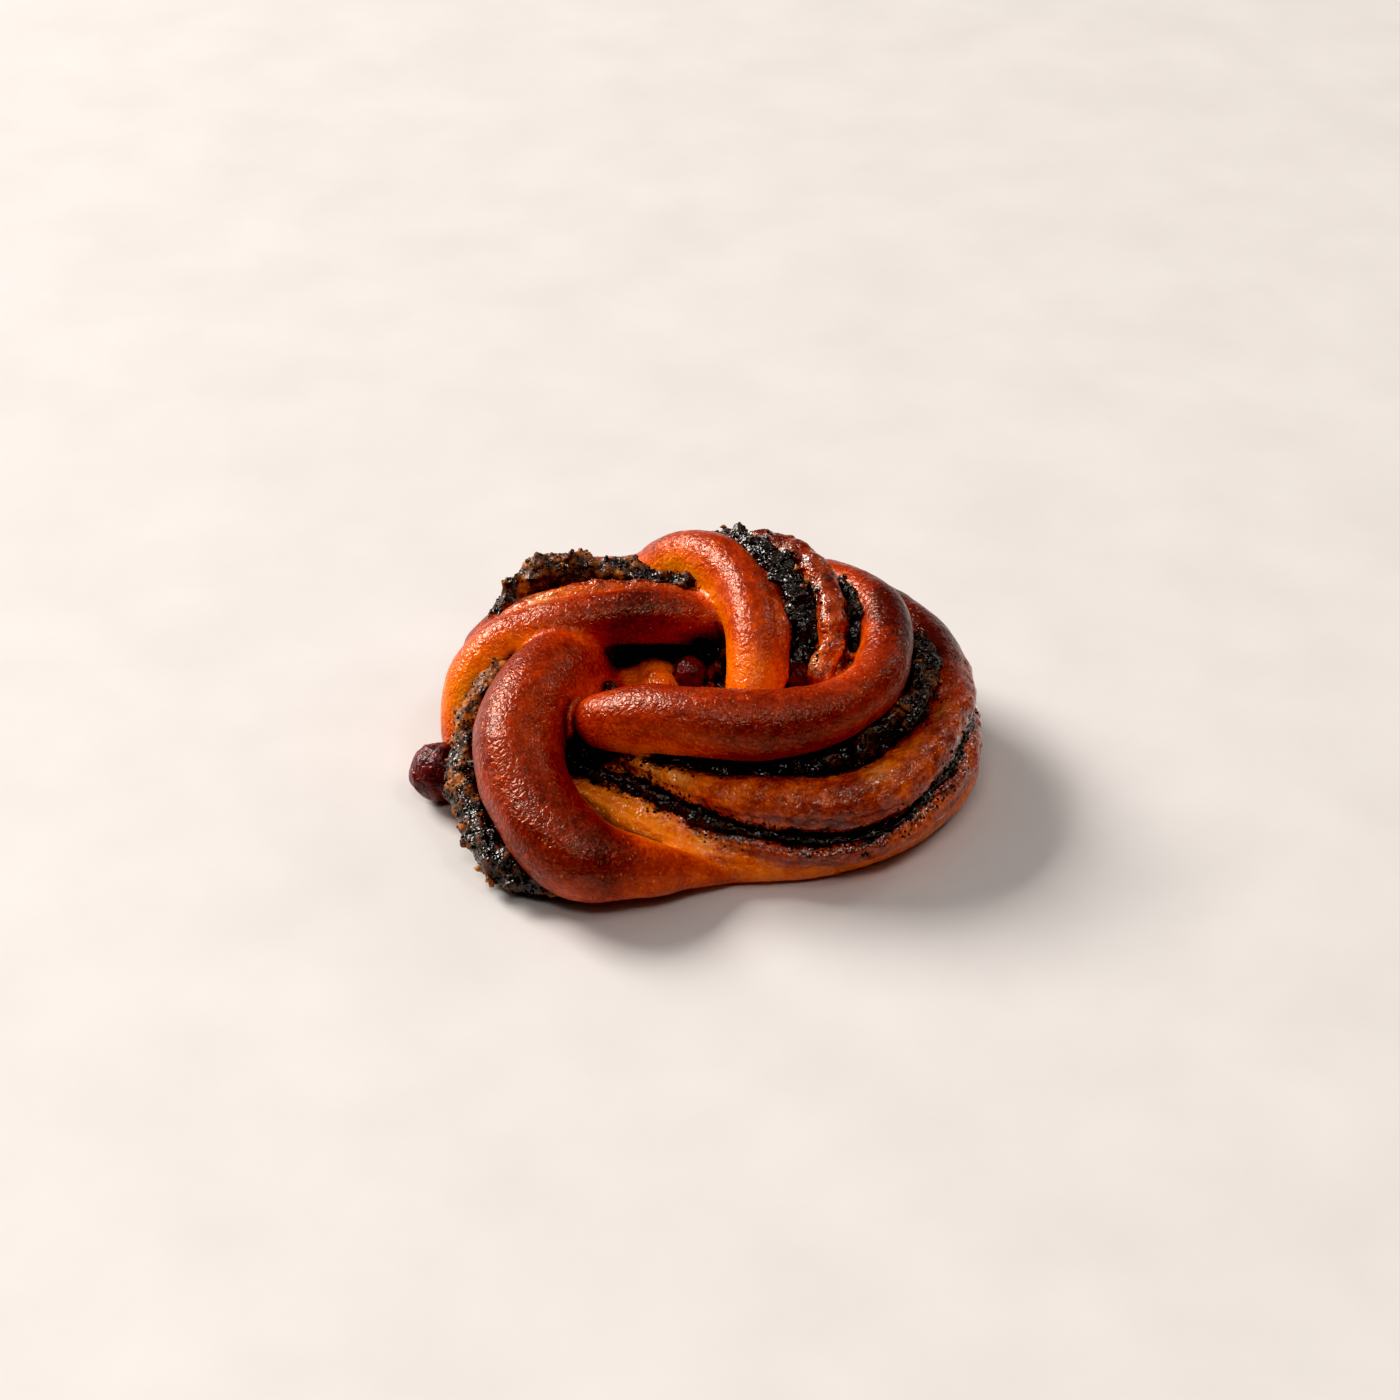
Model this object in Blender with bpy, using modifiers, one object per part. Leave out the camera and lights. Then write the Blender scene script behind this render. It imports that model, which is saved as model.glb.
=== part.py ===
"""Knotted poppy seed bun: a strip of yeast dough, spread with poppy seed filling and cherries, folded,
cut open along one side and wound into a knot, so that smooth rolls weave over layered cut sides.

Four smooth rolls pass over and under each other round a pit in the middle. Each has its cut, layered
side facing outwards, where ribbons of filling show between thinner dough layers.

Frame: +Z up, origin at the middle of the flat base, -Y is the side with the long front roll.
Rows of sizes are in millimetres and are scaled by MM. Run with: blender --background --python part.py
"""

import math
import random

import bmesh
import bpy
import numpy as np
from mathutils import Vector, noise

MM = 0.001

# Driving sizes of the whole bun, in millimetres.
HUB = np.array([0.0, 0.0, -10.0])  # every roll's cut side turns away from this point under the base
CORE_HALF = (46.0, 42.5, 21.0)  # the dough that the rolls are wound on
CORE_CENTRE = (0.0, 2.5, 1.0)
RIM_HALF = (51.8, 46.5)  # the oval that the lowest layers follow round the back
CLEARANCE = 0.30  # gap round the fruit
CUT_GAP = 1.12  # gap between dough and filling, before both are melted and thinned out
UNEVEN = 0.05  # share by which a roll swells and thins along its length
UNEVEN_WAVE = 14.0
CRAG_WAVE = 4.5  # size of the crags on torn layers and on the filling
SHOWN_SHARE = 0.62  # share of a ring's points that lie on its outward half
CAP_SHARE = 0.9  # how far a strand's end is rounded out, as a share of its half thickness
CAP_TURNS = (math.radians(30), math.radians(60))
SPARE_BASE = 1.5  # dough left under the flat base until the last cut
MELT_CELL = 0.8  # cell in which joins are melted together
DOUGH_TRIANGLES = 4000  # kept on the joined dough before the filling is cut out of it
FILLING_TRIANGLES = 3500
CUTTER_TRIANGLES = 3200

DOUGH_COLOUR = (0.30, 0.058, 0.010, 1.0)
FILLING_COLOUR = (0.016, 0.010, 0.009, 1.0)
CHERRY_COLOUR = (0.075, 0.004, 0.003, 1.0)


def rim(start, end, height, half, inset=0.0):
    """Spine points round the back of the bun, from one bearing in degrees to another."""
    count = max(2, round(abs(end - start) / 24.0) + 1)
    rows = []
    for bearing in np.radians(np.linspace(start, end, count)):
        x = (RIM_HALF[0] - inset) * math.cos(bearing)
        y = (RIM_HALF[1] - inset) * math.sin(bearing)
        rows.append((x, y, height, half))
    return rows


def strand(spine, out=1.0, inn=1.6, around=14, step=4.2, crag=0.0, lumps=0):
    """The sizes of one strand: its spine points (x, y, z, half thickness); how far its section reaches
    outwards and inwards from the spine, as shares of the half thickness; the points round and the spacing
    of its rings; and the depth of the crags and the number of lumps on it."""
    return dict(spine=spine, out=out, inn=inn, around=around, step=step, crag=crag, lumps=lumps)


DOUGH = {
    # The four smooth rolls of the knot, in the order in which each passes over the next.
    "left_roll": strand([
        (-29.0, 12.0, 20.0, 6.5), (-32.0, 3.0, 24.5, 8.5), (-37.0, -9.0, 26.0, 9.2),
        (-40.8, -22.0, 22.5, 8.5), (-37.4, -34.0, 17.0, 8.7), (-27.4, -45.2, 12.0, 8.9),
        (-14.9, -45.6, 9.0, 6.4), (-6.6, -43.4, 6.4, 4.2), (0.5, -41.4, 4.2, 2.3),
        (5.7, -39.8, 3.0, 1.3),
    ], inn=1.35, around=16),
    "front_roll": strand([
        (-27.0, -12.6, 21.0, 4.2), (-21.8, -18.2, 26.2, 6.0), (-12.4, -22.4, 29.8, 6.8),
        (-2.5, -25.4, 31.0, 7.0), (5.6, -26.2, 31.0, 7.1), (13.7, -26.0, 31.0, 7.0),
        (21.9, -23.6, 31.2, 6.6), (28.1, -20.2, 32.0, 6.1), (33.4, -14.4, 33.0, 5.8),
        (36.0, -6.5, 34.0, 5.6), (36.6, 3.0, 34.4, 5.5), (34.6, 12.0, 34.0, 5.5),
        (30.0, 19.5, 32.6, 5.6), (25.0, 25.0, 31.0, 5.6), (15.0, 35.0, 25.0, 5.6),
        (3.0, 43.0, 16.0, 5.0),
    ], inn=1.35),
    "middle_roll": strand([
        (-24.0, 40.0, 16.0, 6.0), (-16.0, 35.5, 25.0, 5.8), (-8.0, 30.0, 34.4, 5.8),
        (-0.6, 24.0, 38.8, 5.7), (5.6, 14.5, 39.0, 5.6), (8.4, 3.5, 37.0, 5.6),
        (8.8, -6.5, 32.0, 5.8), (8.0, -15.0, 24.5, 5.4),
    ]),
    "back_roll": strand([
        (-53.0, -9.5, 7.0, 2.6), (-53.6, -1.0, 12.0, 4.4), (-51.4, 6.0, 18.5, 5.8),
        (-45.2, 9.6, 25.0, 6.0), (-34.0, 11.0, 29.6, 5.7), (-20.0, 12.2, 31.6, 5.4),
        (-6.0, 12.8, 31.2, 5.7), (6.0, 13.5, 27.0, 5.4),
    ], inn=1.15),
    # Thinner dough layers of the cut sides.
    "middle_ridge": strand([
        (9.5, 19.5, 38.5, 1.6), (11.5, 14.0, 39.0, 2.6), (13.4, 6.0, 37.2, 3.2),
        (13.4, -2.0, 34.0, 3.4), (12.4, -9.0, 29.0, 3.2), (11.0, -14.0, 24.0, 2.6),
    ], inn=1.8, around=8, step=4.0, crag=0.4),
    "crown_layer": strand([
        (-4.0, 43.0, 20.0, 3.6), (3.5, 38.0, 30.0, 3.8), (10.0, 31.0, 36.6, 3.7),
        (15.5, 24.6, 40.2, 3.8), (20.6, 17.6, 40.6, 3.7), (24.2, 9.4, 38.8, 3.4),
        (25.4, 3.0, 36.6, 3.4), (25.2, -2.6, 33.4, 3.5), (23.0, -6.5, 29.5, 3.3),
    ], inn=2.2, around=10, step=3.4, crag=1.1),
    "back_layer_low": strand([
        (-47.5, 12.3, 27.5, 1.5), (-41.1, 15.1, 31.2, 1.9), (-32.5, 16.6, 34.0, 2.0),
        (-19.7, 17.4, 35.4, 1.8), (-6.0, 17.6, 34.8, 1.5), (2.0, 17.0, 32.0, 1.2),
    ], inn=4.0, around=8, step=4.4, crag=0.3),
    "back_layer_high": strand([
        (-48.0, 22.0, 12.0, 4.0), (-41.5, 29.5, 20.0, 5.0), (-33.0, 33.0, 25.4, 5.0),
        (-23.6, 33.0, 27.2, 5.1), (-13.0, 34.0, 26.0, 5.0),
    ], inn=1.8, around=10, step=4.4, crag=0.4),
    "side_layer_high": strand([
        (-19.0, -17.5, 17.8, 2.0), (-14.9, -23.6, 18.7, 2.3), (-6.7, -28.0, 18.0, 3.1),
        (1.5, -31.6, 17.3, 4.2), (9.7, -33.4, 16.6, 5.3), (17.8, -34.4, 16.5, 5.8),
        (26.0, -34.0, 16.8, 5.9), (32.1, -32.3, 17.5, 5.8), (38.4, -28.8, 18.8, 5.5),
        (43.8, -23.0, 20.4, 5.1), (48.4, -14.5, 21.6, 4.6), (51.4, -5.0, 21.8, 4.3),
        (51.0, 6.0, 21.2, 4.4),
    ], inn=2.2, around=10, crag=0.5),
    "side_layer_mid": strand([
        (-21.0, -24.0, 10.6, 1.0), (-12.9, -27.4, 10.2, 1.4),
        (-6.7, -31.1, 9.6, 1.8), (1.6, -35.6, 8.8, 2.2), (9.7, -38.6, 8.4, 2.5),
        (17.8, -40.0, 8.0, 2.6), (26.0, -40.0, 8.2, 2.5), (32.2, -38.2, 8.8, 2.6),
        (38.5, -34.6, 9.7, 3.0), (44.9, -28.4, 11.2, 3.4), (49.9, -20.8, 12.7, 3.5),
        (53.0, -12.8, 14.0, 3.4), (54.0, -3.0, 14.8, 3.4),
    ] + rim(12, 40, 14.0, 3.2), inn=3.0, around=8, crag=0.5),
    "side_layer_low": strand([
        (-31.7, -21.0, 11.0, 4.2), (-23.3, -25.6, 9.6, 4.6), (-14.9, -30.4, 7.6, 4.7),
        (-6.7, -34.4, 5.8, 4.5), (1.6, -37.6, 4.8, 4.1), (9.8, -37.8, 4.3, 3.9),
        (18.0, -37.2, 4.2, 3.8), (26.3, -35.0, 4.2, 3.8), (32.6, -32.0, 4.2, 3.9),
        (39.1, -27.6, 4.4, 4.1), (45.7, -20.9, 5.2, 4.4), (50.3, -13.7, 6.4, 4.9),
    ] + rim(-4, 205, 7.6, 5.4), inn=2.0, around=10, step=4.6),
    # A fold of dough that rises in the pit, beside the cherry.
    "pit_fold": strand([
        (-15.5, 13.0, 13.0, 3.5), (-12.6, 8.0, 18.6, 4.4), (-10.6, 3.0, 19.4, 4.8),
        (-9.4, -2.5, 17.6, 4.6), (-8.5, -7.5, 14.0, 4.0),
    ], around=8, step=3.6, crag=0.3),
    # The thick dough under the rolls, open towards the pit.
    "body": strand([
        (-40.0, 4.0, 13.0, 10.0), (-36.0, 19.0, 17.0, 12.0), (-22.0, 28.0, 20.0, 12.0),
        (-4.0, 31.0, 23.0, 12.0), (14.0, 26.0, 24.5, 11.5), (24.5, 12.0, 23.5, 9.5),
        (28.0, -6.0, 22.0, 9.0), (16.0, -19.0, 18.0, 8.0), (-6.0, -20.0, 16.0, 6.0),
    ], inn=1.0, around=10, step=6.0),
    # The smooth fold that comes out at the right and runs round the back.
    "rear_roll": strand(
        rim(-6, 165, 20.4, 7.3, inset=3.2) + [(-45.0, 8.0, 15.0, 5.5)],
        inn=1.5, around=12, step=4.8,
    ),
}

# Ribbons of poppy seed filling. They run in under the rolls to the middle of the bun.
FILLING = {
    "left": strand([
        (-22.0, -3.0, 20.0, 3.0), (-30.0, 6.5, 22.0, 2.2), (-37.0, 7.0, 24.4, 2.0),
        (-44.0, 3.2, 24.2, 2.5), (-48.4, -2.4, 21.0, 3.3), (-51.0, -10.0, 16.5, 4.1),
        (-51.2, -19.0, 12.0, 4.9), (-48.6, -29.0, 8.6, 4.8), (-43.8, -38.2, 6.4, 4.8),
        (-36.4, -44.4, 5.0, 3.9), (-30.0, -46.8, 4.0, 2.4),
    ], inn=2.2, around=9, step=3.2, crag=1.2, lumps=22),
    "back": strand([
        (-49.4, 12.0, 22.0, 1.6), (-48.4, 16.0, 23.6, 2.1), (-45.4, 21.0, 27.6, 2.6),
        (-41.0, 24.8, 31.8, 3.4), (-34.6, 25.4, 35.0, 3.6), (-24.0, 23.2, 35.9, 3.4),
        (-11.0, 20.6, 35.4, 2.6), (-4.0, 18.4, 34.6, 2.4), (1.0, 16.0, 31.0, 2.4),
        (3.0, 8.0, 25.0, 2.6),
    ], inn=2.4, around=9, step=3.2, crag=1.1, lumps=20),
    "crown": strand([
        (-10.0, 44.5, 15.0, 2.4), (-5.0, 41.5, 25.0, 2.6), (0.4, 35.6, 34.0, 2.6),
        (5.0, 28.0, 40.6, 3.0), (10.8, 20.6, 41.4, 3.8), (15.8, 13.2, 39.8, 4.0),
        (19.0, 5.5, 37.0, 3.7), (19.4, 0.2, 33.5, 3.3), (18.2, -3.5, 28.5, 3.2),
        (15.0, -5.0, 22.0, 3.4),
    ], inn=2.2, around=9, step=3.2, crag=1.2, lumps=20),
    "right": strand([
        (24.5, 20.5, 35.6, 1.4), (28.4, 15.5, 36.6, 2.0), (29.9, 8.6, 36.4, 2.3),
        (30.2, 2.4, 34.2, 2.3), (28.8, -3.0, 30.6, 2.2), (24.0, -5.5, 25.0, 2.2),
        (15.0, -6.0, 20.0, 3.0),
    ], inn=2.6, around=8, step=3.2, crag=0.6, lumps=4),
    "side_high": strand([
        (-18.0, -7.0, 18.0, 3.0), (-24.5, -14.0, 20.0, 2.2), (-19.0, -19.5, 21.2, 2.0),
        (-14.9, -21.4, 21.4, 2.1), (-6.7, -24.6, 20.9, 2.4), (1.6, -26.4, 20.4, 2.6),
        (9.8, -27.4, 20.4, 2.8), (17.9, -27.8, 21.0, 3.0), (26.2, -26.4, 22.2, 3.2),
        (32.4, -23.0, 23.7, 3.5), (38.4, -16.3, 25.6, 3.9), (43.4, -7.0, 26.8, 4.0),
        (44.6, 4.0, 26.4, 3.7), (40.4, 15.0, 25.6, 2.8), (31.0, 28.0, 25.0, 2.8),
        (17.0, 38.0, 21.0, 2.6), (2.0, 42.5, 13.0, 2.4),
    ], inn=2.6, around=8, step=3.4, crag=1.0, lumps=18),
    "side_low": strand([
        (-18.0, -7.0, 17.0, 2.4), (-28.5, -20.4, 16.0, 1.6), (-21.2, -23.2, 15.3, 1.9),
        (-13.9, -26.6, 14.1, 2.4), (-6.7, -30.8, 12.8, 2.5), (1.5, -35.0, 11.8, 2.2),
        (9.7, -36.9, 11.4, 1.7), (17.8, -39.0, 11.2, 1.5), (25.9, -39.4, 11.3, 1.2),
        (32.1, -38.4, 12.0, 1.0), (38.3, -35.2, 13.2, 1.0), (42.6, -30.7, 14.6, 1.4),
        (47.1, -24.0, 16.6, 2.0), (50.6, -16.6, 17.8, 2.2), (52.6, -7.0, 18.4, 2.1),
    ] + rim(6, 150, 15.0, 1.7, inset=-2.6), out=1.2, inn=5.0, around=8, step=3.6, crag=0.5, lumps=14),
    "middle": strand([
        (-24.0, -8.0, 16.0, 4.0), (-10.0, -2.0, 15.0, 5.0), (2.0, 3.0, 16.4, 6.4),
        (15.0, -6.0, 17.0, 4.6),
    ], inn=1.0, around=12, step=3.4, crag=0.8, lumps=6),
}

# Each cherry: its middle and its radius.
CHERRIES = {
    "cherry_side": ((-57.8, -9.8, 6.6), 6.6),
    "cherry_pit": ((-4.6, 2.8, 23.0), 3.9),
    "cherry_fold": ((18.0, -4.6, 27.2), 4.4),
}
CHERRY_WRINKLE = 0.5
CHERRY_WAVE = 3.6
CHERRY_SEGMENTS = 14

LUMP_RADIUS = (1.3, 2.6)
LUMP_DENT = 0.7
LUMP_WAVE = 2.2
LUMP_SUNK = 0.45  # share of its radius by which a lump's middle lies under the filling's face
LUMP_SEED = 11


def smooth_rows(rows, step):
    """Even rows along a smooth curve through the given rows."""
    rows = np.array(rows, dtype=float)
    chord = np.sqrt(np.linalg.norm(np.diff(rows[:, :3], axis=0), axis=1))
    knots = np.concatenate([[0.0], np.cumsum(chord)])
    slope = np.gradient(rows, knots, axis=0)
    fine = []
    for i in range(len(rows) - 1):
        span = knots[i + 1] - knots[i]
        t = np.linspace(0, 1, 24, endpoint=False)[:, None]
        fine.append(
            (2 * t**3 - 3 * t**2 + 1) * rows[i]
            + (t**3 - 2 * t**2 + t) * span * slope[i]
            + (3 * t**2 - 2 * t**3) * rows[i + 1]
            + (t**3 - t**2) * span * slope[i + 1]
        )
    fine = np.vstack(fine + [rows[-1:]])
    length = np.concatenate([[0.0], np.cumsum(np.linalg.norm(np.diff(fine[:, :3], axis=0), axis=1))])
    even = np.linspace(0, length[-1], max(4, round(length[-1] / step) + 1))
    return np.column_stack([np.interp(even, length, fine[:, k]) for k in range(fine.shape[1])])


def unit(rows):
    return rows / np.linalg.norm(rows, axis=-1, keepdims=True)


def strand_frame(spec):
    """Centres, half thicknesses and the three directions along, sideways and away from the hub."""
    path = smooth_rows(spec["spine"], spec["step"])
    centre, half = path[:, :3], path[:, 3]
    along = unit(np.gradient(centre, axis=0))
    away = centre - HUB
    away = unit(away - (away * along).sum(1)[:, None] * along)
    side = np.cross(along, away)
    wave = [noise.noise(Vector(p) / UNEVEN_WAVE) for p in centre]
    return centre, half * (1 + UNEVEN * np.array(wave)), along, side, away


def section_angles(around):
    """Angles round a ring, with most of the points on its outward half."""
    shown = round(around * SHOWN_SHARE)
    outward = np.linspace(0, math.pi, shown, endpoint=False)
    inward = np.linspace(math.pi, 2 * math.pi, around - shown, endpoint=False)
    return np.concatenate([outward, inward])


def strand_points(spec):
    """The rings of points of a strand, and the points that close its two ends."""
    centre, half, along, side, away = strand_frame(spec)
    reach = half[[0, -1]] * CAP_SHARE
    rings = [(centre[i], i, 1.0) for i in range(len(centre))]
    for turn in CAP_TURNS:
        share, ahead = math.cos(turn), math.sin(turn)
        rings.insert(0, (centre[0] - along[0] * reach[0] * ahead, 0, share))
        rings.append((centre[-1] + along[-1] * reach[1] * ahead, -1, share))
    angle = section_angles(spec["around"])
    depth = np.where(np.sin(angle) > 0, spec["out"], spec["inn"])
    points = []
    for middle, i, share in rings:
        spoke = (
            np.outer(np.cos(angle) * half[i] * share, side[i])
            + np.outer(np.sin(angle) * half[i] * share * depth, away[i])
        )
        crags = [spec["crag"] * noise.noise(Vector(p) / CRAG_WAVE) for p in middle + spoke]
        points.append(middle + spoke + unit(spoke) * np.array(crags)[:, None])
    return points, centre[0] - along[0] * reach[0], centre[-1] + along[-1] * reach[1]


def mesh_object(name, bm, collection):
    """A new object in a collection from a bmesh in millimetres, which is freed."""
    bmesh.ops.recalc_face_normals(bm, faces=bm.faces)
    bmesh.ops.scale(bm, vec=(MM, MM, MM), verts=bm.verts)
    mesh = bpy.data.meshes.new(name)
    bm.to_mesh(mesh)
    bm.free()
    made = bpy.data.objects.new(name, mesh)
    collection.objects.link(made)
    return made


def strand_object(name, spec, collection):
    """A closed loft through a strand's rings."""
    rings, first, last = strand_points(spec)
    bm = bmesh.new()
    made = [[bm.verts.new(p) for p in ring] for ring in rings]
    start, end = bm.verts.new(first), bm.verts.new(last)
    for j in range(spec["around"]):
        k = (j + 1) % spec["around"]
        for here, there in zip(made, made[1:]):
            bm.faces.new((here[j], there[j], there[k], here[k]))
        bm.faces.new((start, made[0][j], made[0][k]))
        bm.faces.new((end, made[-1][k], made[-1][j]))
    return mesh_object(name, bm, collection)


def dented(bm, name, middle, radius, dent, wave, collection):
    """A unit ball in a bmesh, made into an object of this size with dents in it."""
    for vert in bm.verts:
        out = vert.co.normalized()
        on_face = Vector(middle) + out * radius
        vert.co = on_face + out * dent * noise.noise(on_face / wave)
    return mesh_object(name, bm, collection)


def lump_object(name, middle, radius, collection):
    bm = bmesh.new()
    bmesh.ops.create_icosphere(bm, subdivisions=1, radius=1.0)
    return dented(bm, name, middle, radius, LUMP_DENT, LUMP_WAVE, collection)


def cherry_object(name, collection, gap=0.0):
    middle, radius = CHERRIES[name]
    bm = bmesh.new()
    rings = round(CHERRY_SEGMENTS * 0.64)
    bmesh.ops.create_uvsphere(bm, u_segments=CHERRY_SEGMENTS, v_segments=rings, radius=1.0)
    return dented(bm, name, middle, radius + gap, CHERRY_WRINKLE, CHERRY_WAVE, collection)


def lump_places(spec, rng):
    """Middles and radii of the lumps on the outward face of a ribbon."""
    centre, half, along, side, away = strand_frame(spec)
    places = []
    for _ in range(spec["lumps"]):
        i = rng.randrange(1, len(centre) - 1)
        turn = math.radians(rng.uniform(10, 170))
        radius = min(rng.uniform(*LUMP_RADIUS), half[i] * 0.9)
        face = centre[i] + half[i] * (side[i] * math.cos(turn) + away[i] * math.sin(turn) * spec["out"])
        places.append((face - away[i] * radius * LUMP_SUNK, radius))
    return places


def filling_pieces(collection):
    """The ribbons and their lumps, as separate overlapping objects."""
    rng = random.Random(LUMP_SEED)
    for name, spec in FILLING.items():
        strand_object("ribbon_" + name, spec, collection)
        for count, (middle, radius) in enumerate(lump_places(spec, rng)):
            lump_object(f"lump_{name}_{count}", middle, radius, collection)


def apply_modifiers(target):
    graph = bpy.context.evaluated_depsgraph_get()
    mesh = bpy.data.meshes.new_from_object(target.evaluated_get(graph))
    target.modifiers.clear()
    target.data = mesh


def boolean(target, collection, operation, solver="EXACT"):
    """Apply one Boolean of a collection to an object, and remove the collection's objects."""
    modifier = target.modifiers.new(operation.lower(), "BOOLEAN")
    modifier.operand_type = "COLLECTION"
    modifier.collection = collection
    modifier.operation = operation
    modifier.solver = solver
    apply_modifiers(target)
    for used in list(collection.objects):
        bpy.data.objects.remove(used)


def soften(target, voxel, triangles):
    """Melt the joins of a mesh together in small cells, then keep about this many triangles of it."""
    remesh = target.modifiers.new("melt", "REMESH")
    remesh.mode = "VOXEL"
    remesh.voxel_size = voxel * MM
    apply_modifiers(target)
    count = sum(len(face.vertices) - 2 for face in target.data.polygons)
    thin_out = target.modifiers.new("thin_out", "DECIMATE")
    thin_out.ratio = min(1.0, triangles / count)
    apply_modifiers(target)


def grown_copy(target, name, grow, collection):
    """A copy of a solid that is larger by a gap all round."""
    made = bpy.data.objects.new(name, target.data.copy())
    collection.objects.link(made)
    push = made.modifiers.new("push", "DISPLACE")
    push.strength = grow * MM
    push.mid_level = 0.0
    soften(made, MELT_CELL, CUTTER_TRIANGLES)
    return made


def keep_largest(target):
    """Drop the loose scraps that a cut leaves, keeping the largest body."""
    bm = bmesh.new()
    bm.from_mesh(target.data)
    bm.verts.ensure_lookup_table()
    seen = set()
    groups = []
    for vert in bm.verts:
        if vert.index in seen:
            continue
        group, stack = [], [vert]
        seen.add(vert.index)
        while stack:
            here = stack.pop()
            group.append(here)
            for edge in here.link_edges:
                other = edge.other_vert(here)
                if other.index not in seen:
                    seen.add(other.index)
                    stack.append(other)
        groups.append(group)
    groups.sort(key=len)
    for group in groups[:-1]:
        bmesh.ops.delete(bm, geom=group, context="VERTS")
    bm.to_mesh(target.data)
    bm.free()


def under_floor(collection, top=0.0):
    """A slab that cuts off whatever lies below a level."""
    bm = bmesh.new()
    bmesh.ops.create_cube(bm, size=1.0)
    bmesh.ops.scale(bm, vec=(200.0, 200.0, 40.0), verts=bm.verts)
    bmesh.ops.translate(bm, vec=(0.0, 0.0, top - 20.0), verts=bm.verts)
    return mesh_object("under_floor", bm, collection)


def core_object(collection):
    bm = bmesh.new()
    bmesh.ops.create_uvsphere(bm, u_segments=24, v_segments=12, radius=1.0)
    bmesh.ops.scale(bm, vec=CORE_HALF, verts=bm.verts)
    bmesh.ops.translate(bm, vec=CORE_CENTRE, verts=bm.verts)
    return mesh_object("dough", bm, collection)


def material(name, colour, roughness):
    made = bpy.data.materials.new(name)
    made.use_nodes = True
    shader = made.node_tree.nodes["Principled BSDF"]
    shader.inputs["Base Color"].default_value = colour
    shader.inputs["Roughness"].default_value = roughness
    shader.inputs["Metallic"].default_value = 0.0
    return made


def new_collection(name):
    made = bpy.data.collections.new(name)
    bpy.context.scene.collection.children.link(made)
    return made


def finish_piece(target, colour, roughness):
    target.data.materials.clear()
    target.data.materials.append(material(target.name, colour, roughness))
    target.data.shade_smooth()
    target.data.set_sharp_from_angle(angle=math.radians(40))


def build():
    parts = new_collection("poppy_seed_bun")
    tools = new_collection("tools")
    tools.hide_render = True

    filling_pieces(tools)
    filling = tools.objects["ribbon_middle"]
    tools.objects.unlink(filling)
    parts.objects.link(filling)
    filling.name = "filling"
    boolean(filling, tools, "UNION", "MANIFOLD")
    soften(filling, MELT_CELL, FILLING_TRIANGLES)

    dough = core_object(parts)
    for name, spec in DOUGH.items():
        strand_object(name, spec, tools)
    boolean(dough, tools, "UNION")
    under_floor(tools, -SPARE_BASE)
    boolean(dough, tools, "DIFFERENCE")
    soften(dough, MELT_CELL, DOUGH_TRIANGLES)
    grown_copy(filling, "filling_room", CUT_GAP, tools)
    boolean(dough, tools, "DIFFERENCE", "MANIFOLD")

    for piece in (dough, filling):
        for name in CHERRIES:
            cherry_object(name, tools, CLEARANCE)
        under_floor(tools)
        boolean(piece, tools, "DIFFERENCE", "MANIFOLD")
        keep_largest(piece)
    finish_piece(dough, DOUGH_COLOUR, 0.45)
    finish_piece(filling, FILLING_COLOUR, 0.5)

    for name in CHERRIES:
        cherry = cherry_object(name, parts)
        under_floor(tools)
        boolean(cherry, tools, "DIFFERENCE")
        finish_piece(cherry, CHERRY_COLOUR, 0.25)
    bpy.data.collections.remove(tools)


def main():
    for old in list(bpy.data.objects):
        bpy.data.objects.remove(old)
    build()


if __name__ == "__main__":
    main()
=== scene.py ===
"""Looks of a knotted poppy seed bun: egg-washed crust, dark seed paste with single seeds, baked cherries.

Lengths are in millimetres until an object is made, where MM scales them to metres.
"""

import math
import random

import bmesh
import bpy
import numpy as np
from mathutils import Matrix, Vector, noise


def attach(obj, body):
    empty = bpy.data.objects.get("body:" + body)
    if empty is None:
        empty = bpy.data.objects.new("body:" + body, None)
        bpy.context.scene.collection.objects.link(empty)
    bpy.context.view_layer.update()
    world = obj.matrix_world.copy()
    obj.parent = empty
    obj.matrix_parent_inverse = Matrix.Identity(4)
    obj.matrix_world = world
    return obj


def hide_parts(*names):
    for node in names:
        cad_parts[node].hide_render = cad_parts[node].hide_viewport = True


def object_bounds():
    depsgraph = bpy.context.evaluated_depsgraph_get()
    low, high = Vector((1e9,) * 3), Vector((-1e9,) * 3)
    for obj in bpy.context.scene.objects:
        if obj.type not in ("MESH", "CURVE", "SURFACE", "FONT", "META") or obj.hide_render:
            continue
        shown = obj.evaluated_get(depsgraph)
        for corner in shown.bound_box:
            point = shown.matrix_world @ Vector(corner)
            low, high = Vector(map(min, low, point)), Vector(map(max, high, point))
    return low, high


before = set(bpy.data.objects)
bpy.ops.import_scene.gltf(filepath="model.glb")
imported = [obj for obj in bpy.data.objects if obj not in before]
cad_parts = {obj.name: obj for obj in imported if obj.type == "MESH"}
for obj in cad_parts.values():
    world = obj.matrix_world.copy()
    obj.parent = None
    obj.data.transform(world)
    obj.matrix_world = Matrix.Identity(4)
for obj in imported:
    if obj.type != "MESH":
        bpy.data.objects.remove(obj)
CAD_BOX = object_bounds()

MM = 0.001

# ---------------------------------------------------------------- strands, as in the solids

# Every strand's outward side faces away from the hub.
HUB = np.array([0.0, 0.0, -10.0])

# The solid middle of the bun, and the oval on which strands run round its back.
CORE_HALF = np.array([46.0, 42.5, 21.0])
CORE_CENTRE = np.array([0.0, 2.5, 1.0])
RIM_HALF = (51.8, 46.5)

# Uneven thickness, the width of crags, and how far a strand's round end reaches.
UNEVEN = 0.05
UNEVEN_WAVE = 14.0
CRAG_WAVE = 4.5
CAP_SHARE = 0.9


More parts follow.
